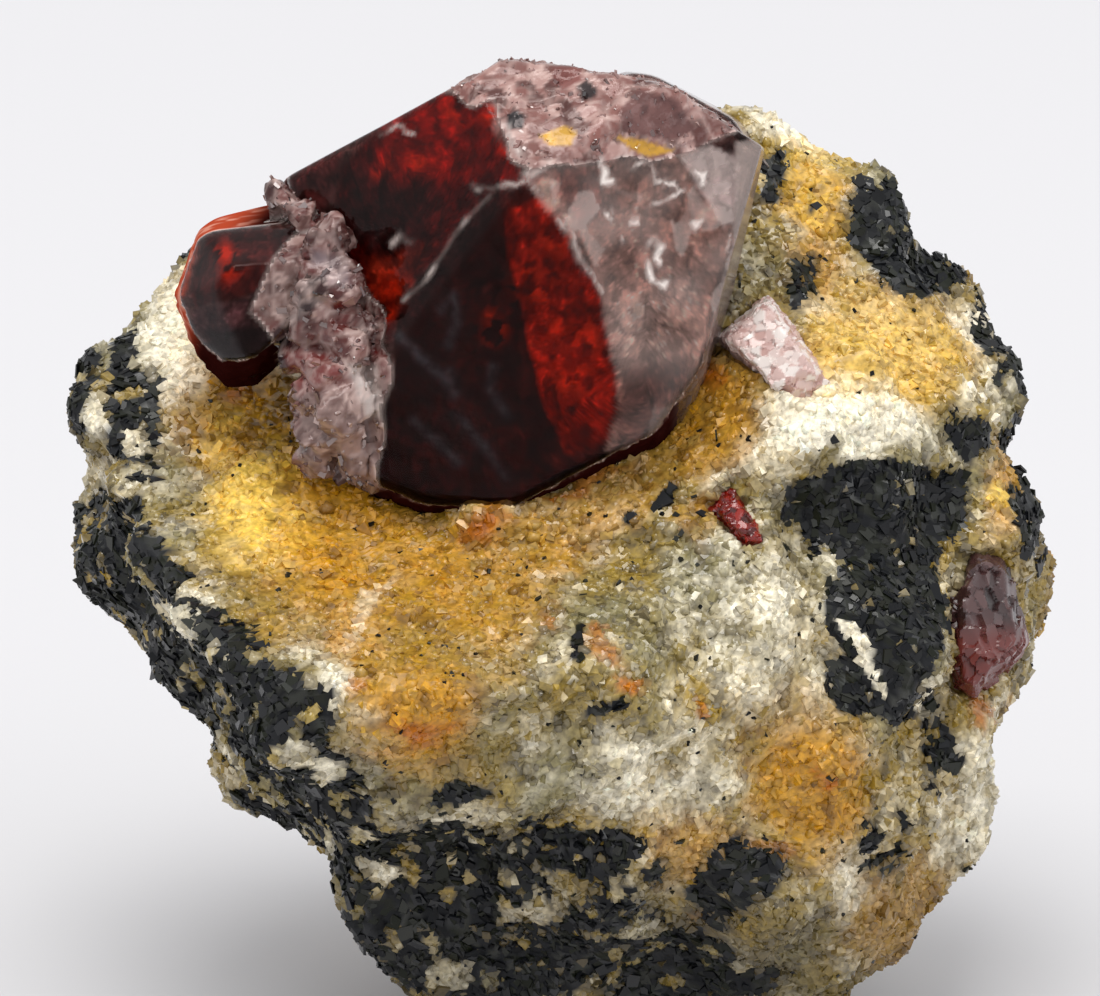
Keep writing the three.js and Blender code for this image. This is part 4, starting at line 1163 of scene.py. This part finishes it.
inner_crystal("large_zircon_inside", LARGE, np.array([-1.0, 8.2, 5.0]), 84, 0.32, 0.12)
inner_crystal("left_zircon_inside", LEFT, np.array([-9.2, 8.0, 5.4]), 40, 0.14, 0.07)
inner_crystal("back_zircon_inside", BACK, np.array([2.6, 11.0, 0.6]), 30, 0.3, 0.1)

# ---- The single zircons ----
# Three small crystals sit in the rock by themselves: a crushed pale pink one, a clear red one
# in the display face and a dull red-brown one by the right rim.

SINGLE = [
    # node, faces, net in mm, size of its breaks, colours, see-through share, roughness, slot
    ("zircon_pink", PINK, 0.07, 0.3, ("#f0e4de", "#dcbcb5", "#c49d96"), 0.2, 0.2, "zircon_pink"),
    ("zircon_small", SMALL, 0.06, 0.25, ("#c82a18", "#98140e", "#5c0d0a"), 0.6, 0.06, "zircon_red"),
    ("zircon_right", RIGHT, 0.08, 0.5, ("#5c3f3e", "#452a2a", "#2a1919"), 0.25, 0.25,
     "zircon_brown"),
]
for node_name, faces, net, size, colours, see_through, roughness, slot in SINGLE:
    points, squares = fine_skin(node_name, net)
    points = drawn_to(points, squares, lambda p: crystal_distance(p, faces))
    relief = 0.7 * breaks(points, size, 70) + 0.05 * cloud(points, 0.5, 71)
    points = points + outward(points, squares) * relief[:, None]
    crystal = piece(f"{node_name}_crystal", to_row(points), squares)
    _, own, _ = cells(points, size, 70)
    light, middle, dark = (np.ones(points.shape) * linear(code) for code in colours)
    mixed = blend(blend(middle, light, ease(own, 0.5, 0.8)), dark, 1 - ease(own, 0.1, 0.4))
    redder = ease(-points[:, 1], 1.6, 2.6) * (node_name == "zircon_right")
    paint(crystal, "crystal_colour", blend(mixed, linear("#7a2a22"), 0.7 * redder))
    made, shader = material(f"{node_name}_glass")
    tint = painted(made, "crystal_colour")
    link(made, tint.outputs["Color"], shader.inputs["Base Color"])
    settle(shader, {
        "Transmission Weight": see_through, "Roughness": roughness, "IOR": 1.93,
        "Specular Tint": (0.5, 0.5, 0.5, 1),
    })
    crystal.data.materials.append(made)
    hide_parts(node_name)

# ---- The view ----
# A pale table and backdrop in one sheet, a soft window of light from the upper left, and a long
# lens that looks straight at the display face.

FLOOR_REACH = 1.2
floor_corners = np.array([(-1, -1, 0), (1, -1, 0), (1, 1, 0), (-1, 1, 0)]) * FLOOR_REACH
floor = piece("floor", floor_corners, np.array([(0, 1, 2, 3)]))
paper, shader = material("pale_paper")
shader.inputs["Base Color"].default_value = (*linear("#d2d1d4"), 1)
settle(shader, {"Roughness": 0.9})
floor.data.materials.append(paper)

world = bpy.data.worlds.new("soft_room")
world.use_nodes = True
world.node_tree.nodes["Background"].inputs["Color"].default_value = (0.98, 0.99, 1.0, 1)
world.node_tree.nodes["Background"].inputs["Strength"].default_value = 0.88
bpy.context.scene.world = world
bpy.context.scene.view_settings.view_transform = "Standard"

LENS = 300
SENSOR = 36
PICTURE_WIDTH = 0.033
centre = to_row(np.array([-0.3, 1.86, 4.0]))
towards = to_row(np.array([0.0, 0.0, 1.0])) - to_row(np.zeros(3))
towards /= np.linalg.norm(towards)


def lamp(name, place, size, power, tint):
    """A square soft light at a face-frame place in mm, aimed at the middle of the picture."""
    data = bpy.data.lights.new(name, "AREA")
    data.size = size
    data.energy = power
    data.color = tint
    made = bpy.data.objects.new(name, data)
    made.location = to_row(np.array(place, float))
    aim = made.location - type(made.location)(centre)
    made.rotation_euler = aim.to_track_quat("Z", "Y").to_euler()
    bpy.context.collection.objects.link(made)


lamp("window", (-60, 620, 420), 0.42, 3.3, (1.0, 0.985, 0.95))
lamp("side_card", (450, 300, 380), 0.4, 0.6, (0.96, 0.98, 1.0))

camera_data = bpy.data.cameras.new("camera")
camera_data.lens = LENS
camera_data.sensor_width = SENSOR
camera_data.clip_start = 0.01
camera_data.clip_end = 10
camera = bpy.data.objects.new("camera", camera_data)
camera.location = centre + towards * PICTURE_WIDTH * LENS / SENSOR
camera.rotation_euler = (np.pi / 2 - FACE_LEAN, 0, 0)
bpy.context.collection.objects.link(camera)
bpy.context.scene.camera = camera
